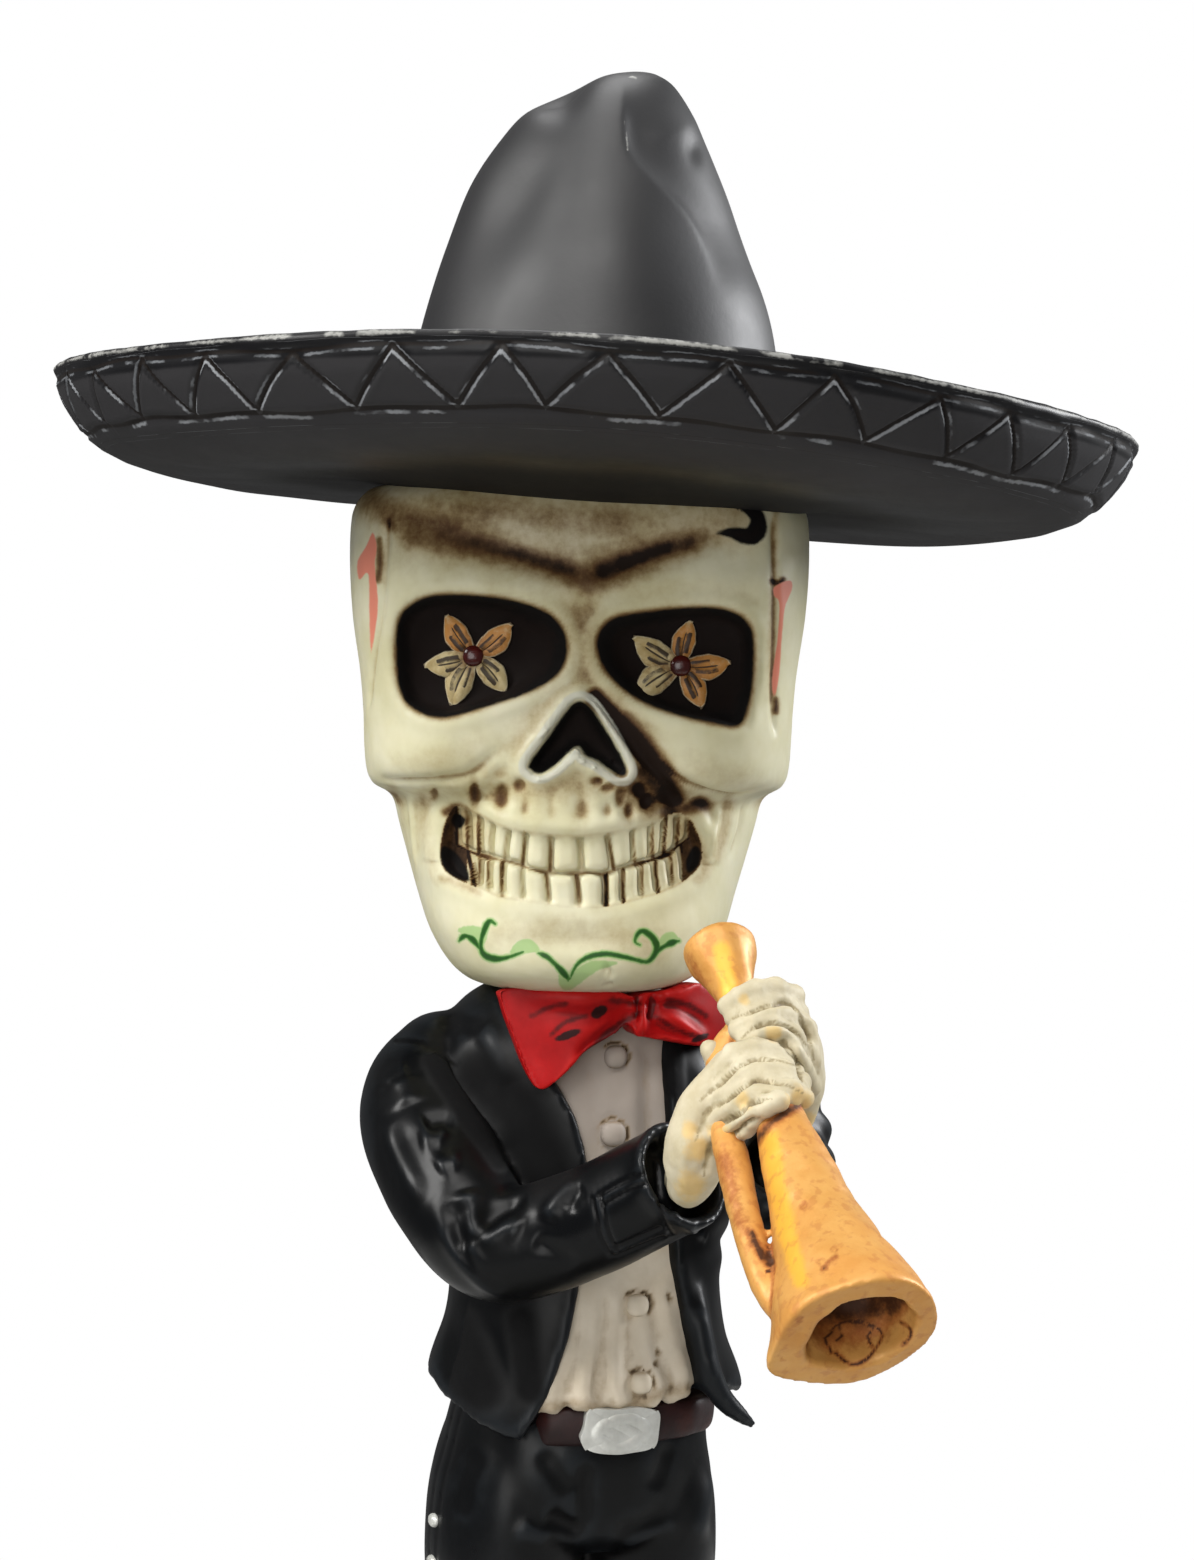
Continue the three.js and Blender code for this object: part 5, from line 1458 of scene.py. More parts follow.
shirt = {
    "voxel": 0.36,
    "rings": [
        (52.6, 10.0, 9.6, 8.4), (50.9, 11.2, 11.2, 9), (51.4, 12.1, 12.3, 9.1), (53.4, 12.0, 12.1, 9),
        (57, 11.5, 11.6, 9), (64, 11.8, 11.5, 9), (74, 12.5, 11.3, 9.4), (81, 12.2, 10.3, 8.6, 2.3, 2.3, 0),
        (85, 9.2, 9.8, 7, 2.1, 2.1, 0), (87.6, 6.4, 8.2, 5.6, 2, 2, 0),
    ],
    # pleats, as the jacket's folds; specks of dirt; buttons: x, y and half width in millimetres
    "pleats": [
        ([(588, 1040), (594, 1110), (600, 1180)], 1.2, 0.28),
        ([(628, 1075), (627, 1130), (624, 1175)], 1.1, -0.25),
        ([(645, 1030), (648, 1100), (650, 1160)], 0.8, 0.3),
        ([(658, 1030), (662, 1100), (664, 1150)], 0.8, -0.25),
        ([(585, 1290), (579, 1345), (562, 1400)], 1.0, 0.3),
        ([(606, 1285), (602, 1350), (592, 1402)], 0.8, 0.3),
        ([(618, 1285), (617, 1350), (610, 1404)], 0.8, -0.3),
        ([(595, 1290), (589, 1350), (578, 1400)], 0.8, -0.3),
        ([(652, 1270), (656, 1340), (668, 1386)], 0.8, 0.3),
        ([(662, 1270), (670, 1330), (684, 1380)], 0.8, -0.25),
        ([(629, 1280), (627, 1340), (624, 1402)], 0.6, 0.25),
        ([(574, 1340), (562, 1374), (548, 1400)], 0.7, -0.3),
    ],
    "specks": [
        (656, 1364), (671, 1300), (658, 1352), (612, 1402), (645, 1395), (690, 1386), (669, 1296),
        (566, 1406),
    ],
    "perMm": 11.6,  # pixels to the millimetre on the chest
    "hemLine": [(546, 1408), (572, 1404), (622, 1411), (668, 1391), (703, 1388)],
    "buttons": [(615, 1057, 1.02), (613, 1134, 1.12), (637, 1305, 1.0), (641, 1383, 0.98)],
}


def makeShirt():
    body = tower("shirt", shirt["rings"], 220, 150, cap=0.08)
    spots = spotsOf(body)
    fromFront = np.degrees(np.arctan2(-spots[:, 0], -spots[:, 1]))
    ragged = 0.3 * np.sin(fromFront * 0.33) + 0.22 * np.sin(fromFront * 0.74 + 1)
    ragged += 0.14 * np.sin(fromFront * 1.6)
    rising = 1.1 * ease(-fromFront, 8, 40)
    low = ease(57 - spots[:, 2], 0, 4) * ease(-spots[:, 1], 4, 7)
    spots[:, 2] += (ragged + rising) * low
    spots[:, 1] -= 0.4 * np.sin(fromFront * 0.42) * low
    # short at the sides and the back, where the jacket hides it
    spots[:, 2] += 4 * ease(np.abs(fromFront), 62, 80) * ease(57 - spots[:, 2], 0, 4)
    moveTo(body, spots)
    remesh(body, shirt["voxel"])
    relax(body, 2)
    draw(body, bodyPlace, [(*pleat, 0.3) for pleat in shirt["pleats"]])
    tree = treeOf(body)
    studs = []
    for k, (px, py, half) in enumerate(shirt["buttons"]):
        hit = onto(tree, [(px, py)], bodyPlace)[0]
        button = rounded(f"button_{k}", (half, 0.75, half), power=2.3, around=32, tall=20)
        turn = math.atan2(hit[3], -hit[4])
        seat = Vector(hit[:3]) + Vector(hit[3:]) * 0.15
        button.data.transform(shiftBy(seat) @ Matrix.Rotation(turn, 4, "Z"))
        studs.append(button)
    spots = spotsOf(body)
    seen = inPhoto(spots, bodyPlace)
    sink = np.zeros(len(spots))
    glazeAndShade = np.zeros(len(spots))
    front = spots[:, 1] < -3
    for px, py, half in shirt["buttons"]:
        away = toSpot(seen, px, py) / shirt["perMm"]
        # a ring round each button, darker on one side: painted shadow
        arc = ease(np.cos(np.arctan2(seen[:, 1] - py, seen[:, 0] - px) + 0.9), -0.3, 0.5)
        sink += 0.25 * bell(away - half - 0.22, 0.2) * (0.3 + 0.7 * arc)
        glazeAndShade = np.maximum(glazeAndShade, 0.9 * bell(away - half - 0.22, 0.16) * (0.1 + 0.9 * arc))
    for px, py in shirt["specks"]:
        away = toSpot(seen, px, py, 3, 4.5)
        sink += 0.2 * bell(away, 1)
        glazeAndShade = np.maximum(glazeAndShade, 0.6 * bell(away, 1))
    sink += 0.05 * wander(spots, 1.3, 5) + 0.04 * wander(spots, 0.8, 9)
    push(body, -sink * front)
    relax(body, 1)
    crease = hollows(body, 14)
    hemGap = np.interp(seen[:, 0], *np.array(shirt["hemLine"], float).T) - seen[:, 1]
    glazeAndShade = np.maximum(glazeAndShade, 0.5 * bell(hemGap, 10))
    # brown specks, browner along the hem, and painted shade in the creases
    note(body, "glazeAndShade", np.clip(np.where(front, glazeAndShade, 0.2) + 3.5 * np.clip(crease - 0.01, 0, 0.1), 0, 1))
    # the top of the shirt is painted greyer, as shade below the chin
    note(body, "upper", seen[:, 1] / 100)
    place(body, bodyPlace, "body_with_base", shirtPaint)
    buttons = joined("shirt_buttons", studs)
    # darker on the buttons' upper and lower faces: painted shade
    note(buttons, "glazeAndShade", 0.5 * ease(np.abs(spotsOf(buttons, "normal")[:, 2]), 0.4, 1))
    note(buttons, "upper", inPhoto(spotsOf(buttons), bodyPlace)[:, 1] / 100)
    place(buttons, bodyPlace, "body_with_base", shirtPaint)


# Bow tie

tie = {
    "voxel": 0.26,
    "rightWing": [
        (0.6, 87.2), (-4, 87.8), (-9.7, 87.9), (-10.0, 86.6), (-9.0, 83.4), (-7.9, 80.4), (-6.9, 79.1),
        (-5.6, 80.0), (-3.2, 82.4), (0.2, 84.6),
    ],
    "leftWing": [
        (-0.8, 87.2), (2.8, 87.6), (5.6, 88.2), (8.2, 86.8), (9.3, 83.2), (6.6, 82.6), (3.4, 83.0),
        (-0.8, 84.2),
    ],
    "knotPixel": (645, 1006),
    "knotSize": (0.75, 1.3, 1.8),
    "knotPlace": (0.5, -13.0, 85.4),
    "back": -10.6,
    "front": -13.7,
    "folds": [
        ([(640, 1006), (612, 1010), (580, 1016), (540, 1010)], 0.8, 0.4),
        ([(640, 1014), (606, 1034), (580, 1056), (564, 1080)], 0.6, 0.45),
        ([(632, 1024), (606, 1046), (582, 1072)], 0.5, -0.4),
        ([(640, 1000), (600, 998), (560, 998), (516, 994)], 0.8, -0.3),
        ([(654, 1008), (672, 1006), (692, 1014), (712, 1030)], 0.6, 0.4),
        ([(654, 1014), (674, 1020), (694, 1032), (708, 1040)], 0.5, -0.35),
        ([(654, 1000), (670, 992), (688, 984)], 0.6, -0.3),
        ([(652, 1016), (666, 1030), (690, 1042)], 0.5, 0.35),
        ([(637, 988), (638, 1006), (634, 1024)], 0.35, 0.6),
        ([(652, 988), (653, 1006), (650, 1022)], 0.35, 0.6),
    ],
    # black spots: x, y, half width and height
    "spots": [(599, 1012, 8, 5.5), (568, 1035, 13, 4), (700, 1038, 9, 3)],
    # strokes of thinned black, and painted shade, along the folds: line and reach
    "strokes": [
        ([(640, 1012), (612, 1030), (592, 1050), (580, 1064)], 5),
        ([(552, 1034), (566, 1022), (586, 1016)], 3.5), ([(532, 1016), (548, 1008), (566, 1004)], 4),
        ([(612, 1000), (640, 1004)], 5), ([(655, 1016), (676, 1030), (696, 1036)], 4),
        ([(668, 1000), (690, 1006), (706, 1016)], 4),
    ],
}


def makeTie():
    wings = []
    for name, swing in (("rightWing", -4), ("leftWing", 4)):
        wing = plug(name, tie[name], tie["back"], tie["front"], smooth=90)
        wing.data.transform(Matrix.Rotation(math.radians(swing), 4, "Z"))
        wings.append(wing)
    knot = rounded("knot", tie["knotSize"], power=2.6, around=40, tall=26)
    knot.data.transform(shiftBy(tie["knotPlace"]) @ Matrix.Rotation(math.radians(-8), 4, "Y"))
    cloth = weld("bow_tie", [*wings, knot], tie["voxel"])
    relax(cloth, 7)
    spots = spotsOf(cloth)
    # fuller in the middle of each wing than along its edges
    seen = inPhoto(spots, bodyPlace)
    front = ease(-spotsOf(cloth, "normal")[:, 1], 0.1, 0.7)
    knotX, knotY = tie["knotPixel"]
    fan = np.sin(np.arctan2(seen[:, 1] - knotY, np.abs(seen[:, 0] - knotX)) * 9)
    spots[:, 1] -= front * (0.07 * fan + 0.75 * bell(np.abs(spots[:, 0] + 0.2) - 4.8, 2.8) - 0.45)
    # the wings follow the chest, and thin out towards their ends
    outer = np.abs(spots[:, 0] - 0.3)
    middle = (tie["back"] + tie["front"]) / 2
    spots[:, 1] = middle + (spots[:, 1] - middle) * (1 - 0.35 * ease(outer, 4, 9.5)) + 0.021 * outer**2
    moveTo(cloth, spots)
    draw(cloth, bodyPlace, [(*fold, 0.3) for fold in tie["folds"]])
    relax(cloth, 1)
    spots = spotsOf(cloth)
    seen = inPhoto(spots, bodyPlace)
    dark = np.zeros(len(spots))
    for px, py, wide, tall in tie["spots"]:
        lean = (seen[:, 0] - px) * 0.35
        away = np.hypot((seen[:, 0] - px) / wide, (seen[:, 1] - py + lean) / tall)
        dark = np.maximum(dark, 1.4 - away)
    note(cloth, "spot", np.where(spots[:, 1] < -10, dark, -1))
    # strokes of thinned black, partly painted shade along the folds
    strokeAndShade = smear(seen, [(*line, 1) for line in tie["strokes"]], 14)
    note(cloth, "strokeAndShade", np.where(spots[:, 1] < -10, strokeAndShade, 0))
    note(cloth, "crease", hollows(cloth, 14))
    place(cloth, bodyPlace, "body_with_base", tiePaint)


# Belt and buckle

belt = {
    "rings": [
        (47.6, 10.6, 10.3, 8.6), (48.0, 11.4, 11.1, 9.6), (49.6, 11.7, 11.4, 9.9), (50.9, 11.5, 11.2, 9.7),
        (51.3, 10.6, 10.2, 8.6),
    ],
    # corners of the buckle: x, y, distance beyond the axis
    "buckle": [(586, 1405, -12.0), (655, 1407, -9.6), (652.5, 1446, -9.6), (579, 1450, -12.0)],
}


def makeBelt():
    strap = tower("belt", belt["rings"], 200, 60, cap=0.16)
    spots = spotsOf(strap)
    spots += spotsOf(strap, "normal") * (0.06 * wander(spots, 2.4, 3))[:, None]
    # drawn in under the jacket at the figure's right
    spots[:, :2] *= (1 - 0.12 * ease(-spots[:, 0], 6.5, 9))[:, None]
    moveTo(strap, spots)
    corners = np.array([fromPhoto(*corner) for corner in belt["buckle"]])
    note(strap, "crease", 0.02 * wander(spotsOf(strap), 3, 2))

    centre = corners.mean(axis=0)
    across = (corners[1] + corners[2] - corners[0] - corners[3]) / 4
    up = (corners[0] + corners[1] - corners[2] - corners[3]) / 4

    plate = grid("buckle", 60, 38)
    flat = spotsOf(plate)
    u, v = flat[:, 0], flat[:, 1]
    # a soft oval ring on it, rounded corners and an edge that sags
    inner = np.hypot(u / 0.6, (v + 0.1) / 0.62)
    relief = 0.14 * bell(inner - 1, 0.2) + 0.1 * (1 - u**2)
    relief += 0.05 * np.sin(u * 9 + 3 * np.sin(v * 4)) * (inner < 0.9)
    bulge = 0.9 * (1 - u**2)
    corner = np.maximum(np.abs(u), np.abs(v)) / np.maximum((u**6 + v**6) ** (1 / 6), 0.001)
    u = u * corner - 0.07 * bell(v + 0.4, 0.3) * ease(-u, 0, 1)
    v = v * corner - 0.16 * bell(u + 0.2, 0.7) * ease(-v, 0, 1) + 0.05 * np.sin(u * 5) * ease(v, 0, 1)
    surface = centre + across * u[:, None] + up * v[:, None]
    surface[:, 1] -= 0.2 + relief + bulge * 0.3
    moveTo(plate, surface)
    modify(plate, "SOLIDIFY", thickness=1.5, offset=0)
    modify(plate, "BEVEL", width=0.28, segments=3, limit_method="ANGLE", angle_limit=math.radians(50))
    note(plate, "crease", hollows(plate, 8))
    place(strap, bodyPlace, "body_with_base", beltPaint)
    place(plate, bodyPlace, "body_with_base", bucklePaint, smooth=40)


# Trousers, flared over the boots, with a row of studs down each side seam

trousers = {
    "voxel": 0.42,
    "leg": [
        (4.4, 6.2, 6.7), (4.8, 6.4, 6.9), (9, 5.9, 6.2), (18, 5.5, 5.8), (30, 6.2, 7), (36, 6.7, 8.2),
        (41, 6.4, 8.8), (45, 5.6, 8.6), (48, 4.6, 8.0),
    ],
    "hips": [
        (37.4, 8.5, 7.4, 7.4), (39.4, 12.4, 9.2, 9.0), (43, 12.7, 10.1, 9.6), (46.6, 11.8, 10.6, 9.5),
        (49.2, 11.2, 10.2, 9),
    ],
    # how far the hips stand off the middle, and the axis of a leg from it
    "shift": -1.1,
    "aside": 6.5,
    "stud": (0.75, 0.5, 0.62),
    "folds": [
        ([(545, 1515), (562, 1524), (586, 1535)], 0.9, 0.6),
        ([(516, 1525), (532, 1533), (552, 1540)], 0.9, -0.35),
        ([(618, 1547), (650, 1534), (682, 1518)], 1.0, -0.3),
        ([(612, 1534), (640, 1524), (668, 1510)], 0.9, 0.3),
        ([(698, 1542), (706, 1500), (711, 1458)], 1.2, -0.3),
        ([(586, 1462), (584, 1490), (585, 1528)], 0.7, 0.35),
        ([(668, 1440), (662, 1466), (652, 1492)], 0.9, 0.3),
        ([(540, 1450), (556, 1474), (576, 1496)], 1.0, 0.3),
        ([(480, 1448), (468, 1480), (462, 1520)], 1.2, 0.25),
    ],
    "studLevels": [39.9, 36.2, 32.4, 28.6, 24.8, 21.0, 17.2, 13.4, 9.6, 6.2],
}


def makeTrousers():
    legs = []
    aside = trousers["aside"]
    for side in (-1, 1):
        lean = np.interp([z for z, *_ in trousers["leg"]], [10, 30], [0, trousers["shift"]])
        stops = zip(trousers["leg"], lean)
        rings = [(z, half, deep, deep, 2.3, 2.3, aside * side + x) for (z, half, deep), x in stops]
        legs.append(tower(f"leg_{side}", rings, 120, 130, cap=0.05))
    shift = trousers["shift"]
    rings = [(*ring, 2.4, 2.4, shift * ease(51 - ring[0], 0, 7)) for ring in trousers["hips"]]
    hips = tower("hips", rings, 180, 60)
    spots = spotsOf(hips)
    spots[:, 2] += 2.0 * ease(-spots[:, 0], 6, 9.5) * ease(spots[:, 2], 45, 49)
    moveTo(hips, spots)
    cloth = weld("trousers", [*legs, hips], trousers["voxel"])
    relax(cloth, 6)
    draw(cloth, bodyPlace, [(*fold, 0.3) for fold in trousers["folds"]])
    spots = spotsOf(cloth)
    x, y, z = spots.T
    outer = np.abs(x)
    # ironed fronts, knee folds, and the outer seam under the studs
    swell = 0.16 * bell(outer - aside, 0.7) * ease(36 - z, 0, 5) * ease(-y, 1, 4)
    for level, lean in ((22, 0.5), (26, -0.5), (18.5, 0.35), (30, -0.35)):
        fold = bell(z - level - lean * (outer - aside), 0.9) * ease(-y, -3, 3)
        swell -= 0.32 * fold * ease(outer - aside, -5, 0)
    for level, lean in ((23, -0.4), (19.4, 0.4), (27, 0.5)):
        swell -= 0.34 * bell(z - level - lean * (outer - aside), 1.0) * ease(y, -2, 4)
    swell += -0.25 * bell(z - 7.4 - 0.3 * y, 0.8) + 0.05 * wander(spots, 4, 2)
    seam = bell(np.abs(y + 0.2) - 1.05, 0.22) * (outer > 10.4)
    swell -= 0.14 * seam
    push(cloth, swell)
    relax(cloth, 1)
    note(cloth, "crease", hollows(cloth, 14))

    tree = treeOf(cloth)
    studs = []
    for side in (-1, 1):
        for k, level in enumerate(trousers["studLevels"]):
            hit, _, _, _ = tree.ray_cast(Vector((30 * side, -0.2, level)), Vector((-side, 0, 0)))
            stud = rounded(f"stud_{side}_{k}", trousers["stud"], power=2.1, around=22, tall=14)
            turn = Matrix.Rotation(math.pi / 2 * side, 4, "Z")
            stud.data.transform(shiftBy(hit) @ turn @ Matrix.Scale(1.25, 4, (1, 0, 0)))
            studs.append(stud)
    row = joined("side_studs", studs)
    note(row, "crease", 0.03 * wander(spotsOf(row), 1.2, 1))
    place(cloth, bodyPlace, "body_with_base", clothPaint)
    place(row, bodyPlace, "body_with_base", bucklePaint)


# Hands of bone, the right one below the left one

hands = {
    "voxel": 0.24,
    # drawn over the photograph: x, y, distance beyond the axis, and for a palm its half width and half depth
    "rightPalm": [
        (680, 1178, -20.0, 1.5, 1.5), (684, 1179, -24.5, 1.6, 1.7), (690, 1184, -28.6, 1.8, 2.0),
        (694, 1163, -30.8, 2.6, 2.2), (697, 1135, -31.6, 2.5, 2.2), (703, 1108, -31.8, 2.1, 1.9),
        (715, 1084, -31.8, 1.6, 1.5), (727, 1064, -31.8, 1.2, 1.2),
    ],
    "rightFingers": [
        [(701, 1097, -31.5), (715, 1075, -32.2), (734, 1055, -32.7), (756, 1049, -32.7), (774, 1053, -32.1),
            (789, 1063, -30.6)],
        [(704, 1106, -32.3), (723, 1091, -33.3), (743, 1073, -34.2), (765, 1069, -34.4), (785, 1072, -33.8),
            (801, 1083, -32.2)],
        [(712, 1118, -33.0), (732, 1107, -34.4), (750, 1094, -35.8), (773, 1091, -36.3), (792, 1091, -35.9),
            (803, 1098, -34.5)],
        [(714, 1140, -33.0), (734, 1129, -34.8), (749, 1117, -36.6), (765, 1107, -37.7), (779, 1101, -37.9)],
        [(715, 1151, -32.2), (731, 1138, -34.0), (745, 1127, -35.6), (756, 1118, -36.6)],
    ],
    "leftPalm": [
        (781, 1165, -15.5, 1.5, 1.5), (785, 1150, -19.5, 1.5, 1.6), (791, 1124, -23.6, 1.6, 1.8),
        (797, 1104, -25.4, 1.9, 2.2), (801, 1072, -26.0, 2.0, 2.6), (795, 1036, -26.4, 1.9, 2.6),
        (779, 1006, -26.8, 1.7, 2.2),
    ],
    "leftFingers": [
        [(793, 996, -26.2), (775, 989, -28.2), (756, 990, -29.2), (740, 998, -29.6), (729, 1006, -29.0)],
        [(806, 1029, -26.8), (790, 1018, -29.0), (771, 1014, -30.4), (753, 1018, -31.0), (739, 1030, -30.6)],
        [(811, 1072, -27.2), (804, 1050, -28.8), (791, 1036, -30.4), (774, 1029, -31.6), (758, 1032, -31.8),
            (747, 1038, -31.4)],
        [(810, 1086, -27.6), (801, 1066, -30.0), (793, 1052, -31.4)],
    ],
    "thumb": [(724, 1078, -28.6), (716, 1064, -28.9), (710, 1050, -28.8)],
    "finger": 0.98,
    # hollows between the bones, in pixels
    "grooves": [
        ([(700, 1101), (721, 1081), (742, 1063), (765, 1058), (794, 1065)], 0.3, 0.42),
        ([(703, 1114), (727, 1099), (746, 1084), (756, 1080), (778, 1082), (803, 1093)], 0.3, 0.45),
        ([(714, 1127), (737, 1114), (752, 1102), (772, 1099)], 0.3, 0.42),
        ([(716, 1147), (731, 1136), (745, 1125), (760, 1117)], 0.3, 0.42),
        ([(733, 1019), (749, 1012), (771, 1004), (790, 1004), (803, 1017)], 0.3, 0.4),
        ([(742, 1038), (756, 1026), (775, 1021), (793, 1029), (807, 1046)], 0.3, 0.42),
        ([(778, 1042), (791, 1050), (799, 1066), (802, 1082)], 0.35, 0.4),
        ([(806, 1012), (816, 1042), (818, 1074)], 0.5, -0.25),
        ([(798, 1010), (808, 1034), (814, 1060)], 0.4, 0.25),
        ([(688, 1196), (684, 1160), (692, 1128)], 0.7, -0.25),
        ([(704, 1176), (708, 1156), (712, 1136)], 0.5, 0.3),
        ([(696, 1140), (702, 1122), (712, 1104)], 0.5, 0.2),
    ],
    # where the bone yellowed: x, y, reach
    "yellow": [
        (690, 1186, 20), (700, 1150, 16), (690, 1130, 12), (744, 1102, 10), (716, 1130, 12), (800, 1100, 16),
        (774, 1034, 10), (744, 1000, 8), (806, 1120, 14),
    ],
}


def bony(name, stops, size):
    # a finger with swollen joints
    knots = [(*fromPhoto(*stop), size) for stop in stops]
    count = len(knots)
    path = spline(knots, 6 * (count - 1) + 1)
    share = np.arange(len(path)) / 6
    nearJoint = np.abs(share - np.round(share))
    path[:, 3] = size * (0.92 + 0.15 * np.exp(-((nearJoint / 0.17) ** 2)))
    path[-1, 3] *= 0.9
    return limb(name, path, around=20, tall=70, cap=0.08)


def makeHand(side):
    palm = traced(hands[side + "Palm"])
    parts = [limb(f"{side}_palm", palm, around=36, tall=60, cap=0.14, lean=tuple(awayWay))]
    for k, stops in enumerate(hands[side + "Fingers"]):
        parts.append(bony(f"{side}_finger_{k}", stops, hands["finger"]))
    # flesh between the fingers, a little deeper than they are
    for k, (one, other) in enumerate(zip(hands[side + "Fingers"], hands[side + "Fingers"][1:])):
        middle = (spline(one, 7) + spline(other, 7)) / 2 + np.array([0, 0, 0.3])
        parts.append(limb(f"{side}_web_{k}", [(*fromPhoto(*stop), 0.85) for stop in middle], 20, 50, 0.08))
    if side == "left":
        parts.append(bony("left_thumb", hands["thumb"], 0.9))
    hand = weld(f"{side}_hand", parts, hands["voxel"])
    relax(hand, 3)
    draw(hand, bodyPlace, [(line, half, 1.3 * depth, 0.3) for line, half, depth in hands["grooves"]])
    spots = spotsOf(hand)
    swell = 0.07 * wander(spots, 1.7, 3) + 0.04 * wander(spots, 0.8, 6)
    push(hand, swell)
    crease = hollows(hand, 12)
    seen = inPhoto(spotsOf(hand), bodyPlace)
    lines = smear(seen, [(line, 1.4, 0.5) for line, _, depth in hands["grooves"] if depth > 0], 20)
    lines *= spotsOf(hand, "normal") @ awayWay < 0.2
    # brown wash and painted shade in the creases and along the grooves between the bones
    note(hand, "glazeAndShade", np.clip(np.maximum(4.5 * np.clip(crease, 0, 0.15), lines) + 0.04, 0, 1))
    yellow = np.zeros(len(spots))
    for px, py, wide in hands["yellow"]:
        yellow = np.maximum(yellow, bell(toSpot(seen, px, py), wide))
    note(hand, "yellow", yellow + 1.5 * np.clip(-crease, 0, 0.2))
    place(hand, bodyPlace, "body_with_base", fingerPaint)


# Trumpet

trumpet = {
    "start": (3.3, -24.6, 92.2),
    "way": (-0.019, -0.73, -0.683),
    # distance from the mouthpiece, radius
    "profile": [
        (1.6, 0), (1.4, 1.0), (0.6, 1.9), (0.1, 2.35), (0.0, 2.8), (0.5, 3.15), (1.7, 2.95), (3.6, 2.25),
        (6, 1.6), (9, 1.4), (15, 1.5), (20, 2.1), (25, 2.85), (30, 3.5), (34.5, 4.6), (38.5, 5.85),
        (40.9, 6.5), (41.4, 6.45), (41.4, 4.5), (41.1, 4.2), (39.5, 3.9), (37, 3.2), (35.2, 2.0), (34.8, 0),
    ],
    "corner": 24,
    "offCentre": 0.5,
    # the bent tube drawn over the photograph: x, y, distance beyond the axis, half width
    "bend": [
        (735, 1034, -28.0, 1.1), (722, 1052, -28.6, 1.1), (718, 1080, -30.2, 1.1), (723, 1120, -32.8, 1.2),
        (733, 1162, -36.0, 1.4), (742, 1205, -39.4, 1.3), (751, 1240, -42.4, 1.25), (762, 1276, -45.4, 1.2),
        (775, 1302, -47.4, 1.15), (788, 1316, -48.0, 1.0),
    ],
    # pits in the paint: x, y, reach
    "pits": [
        (740, 1136, 6), (803, 1205, 5), (822, 1262, 5), (834, 1250, 4), (826, 1268, 3), (800, 1320, 4),
    ],
    "voxel": 0.25,
    "tall": 300,
    # inside the bell the painted shade is darkest above this level
    "darkAbove": 1330,
    # cracks in the paint inside the bell
    "cracks": [
        [(832, 1352), (825, 1340), (829, 1335), (838, 1325), (857, 1322), (875, 1327), (882, 1335),
            (877, 1347), (866, 1360), (851, 1364), (836, 1353)],
        [(900, 1323), (909, 1327), (911, 1334), (907, 1341), (902, 1345)],
        [(838, 1325), (842, 1334), (836, 1342)], [(875, 1327), (868, 1336), (872, 1346)],
    ],
    # brown wash and painted shade: line, reach and strength; then the painted gold highlight: line and reach
    "glazeAndShade": [
        ([(756, 1142), (770, 1124), (790, 1110), (802, 1104)], 6, 0.95),
        ([(753, 1240), (760, 1250), (768, 1262)], 6, 1.0), ([(748, 1230), (752, 1244)], 5, 0.8),
        ([(724, 1160), (732, 1190), (740, 1222)], 11, 0.62),
        ([(752, 1232), (757, 1246), (762, 1258)], 4, 1.1), ([(690, 960), (702, 985), (712, 1012)], 7, 0.45),
        ([(757, 962), (752, 985)], 6, 0.3), ([(822, 1270), (828, 1262), (836, 1256)], 3, 0.8),
        ([(770, 1300), (776, 1340)], 8, 0.25), ([(800, 1204), (812, 1208)], 5, 0.3),
    ],
    "goldHighlight": [
        ([(722, 950), (728, 985), (733, 1020)], 12), ([(770, 1140), (776, 1180), (786, 1230)], 14),
        ([(786, 1230), (800, 1280)], 12),
    ],
}


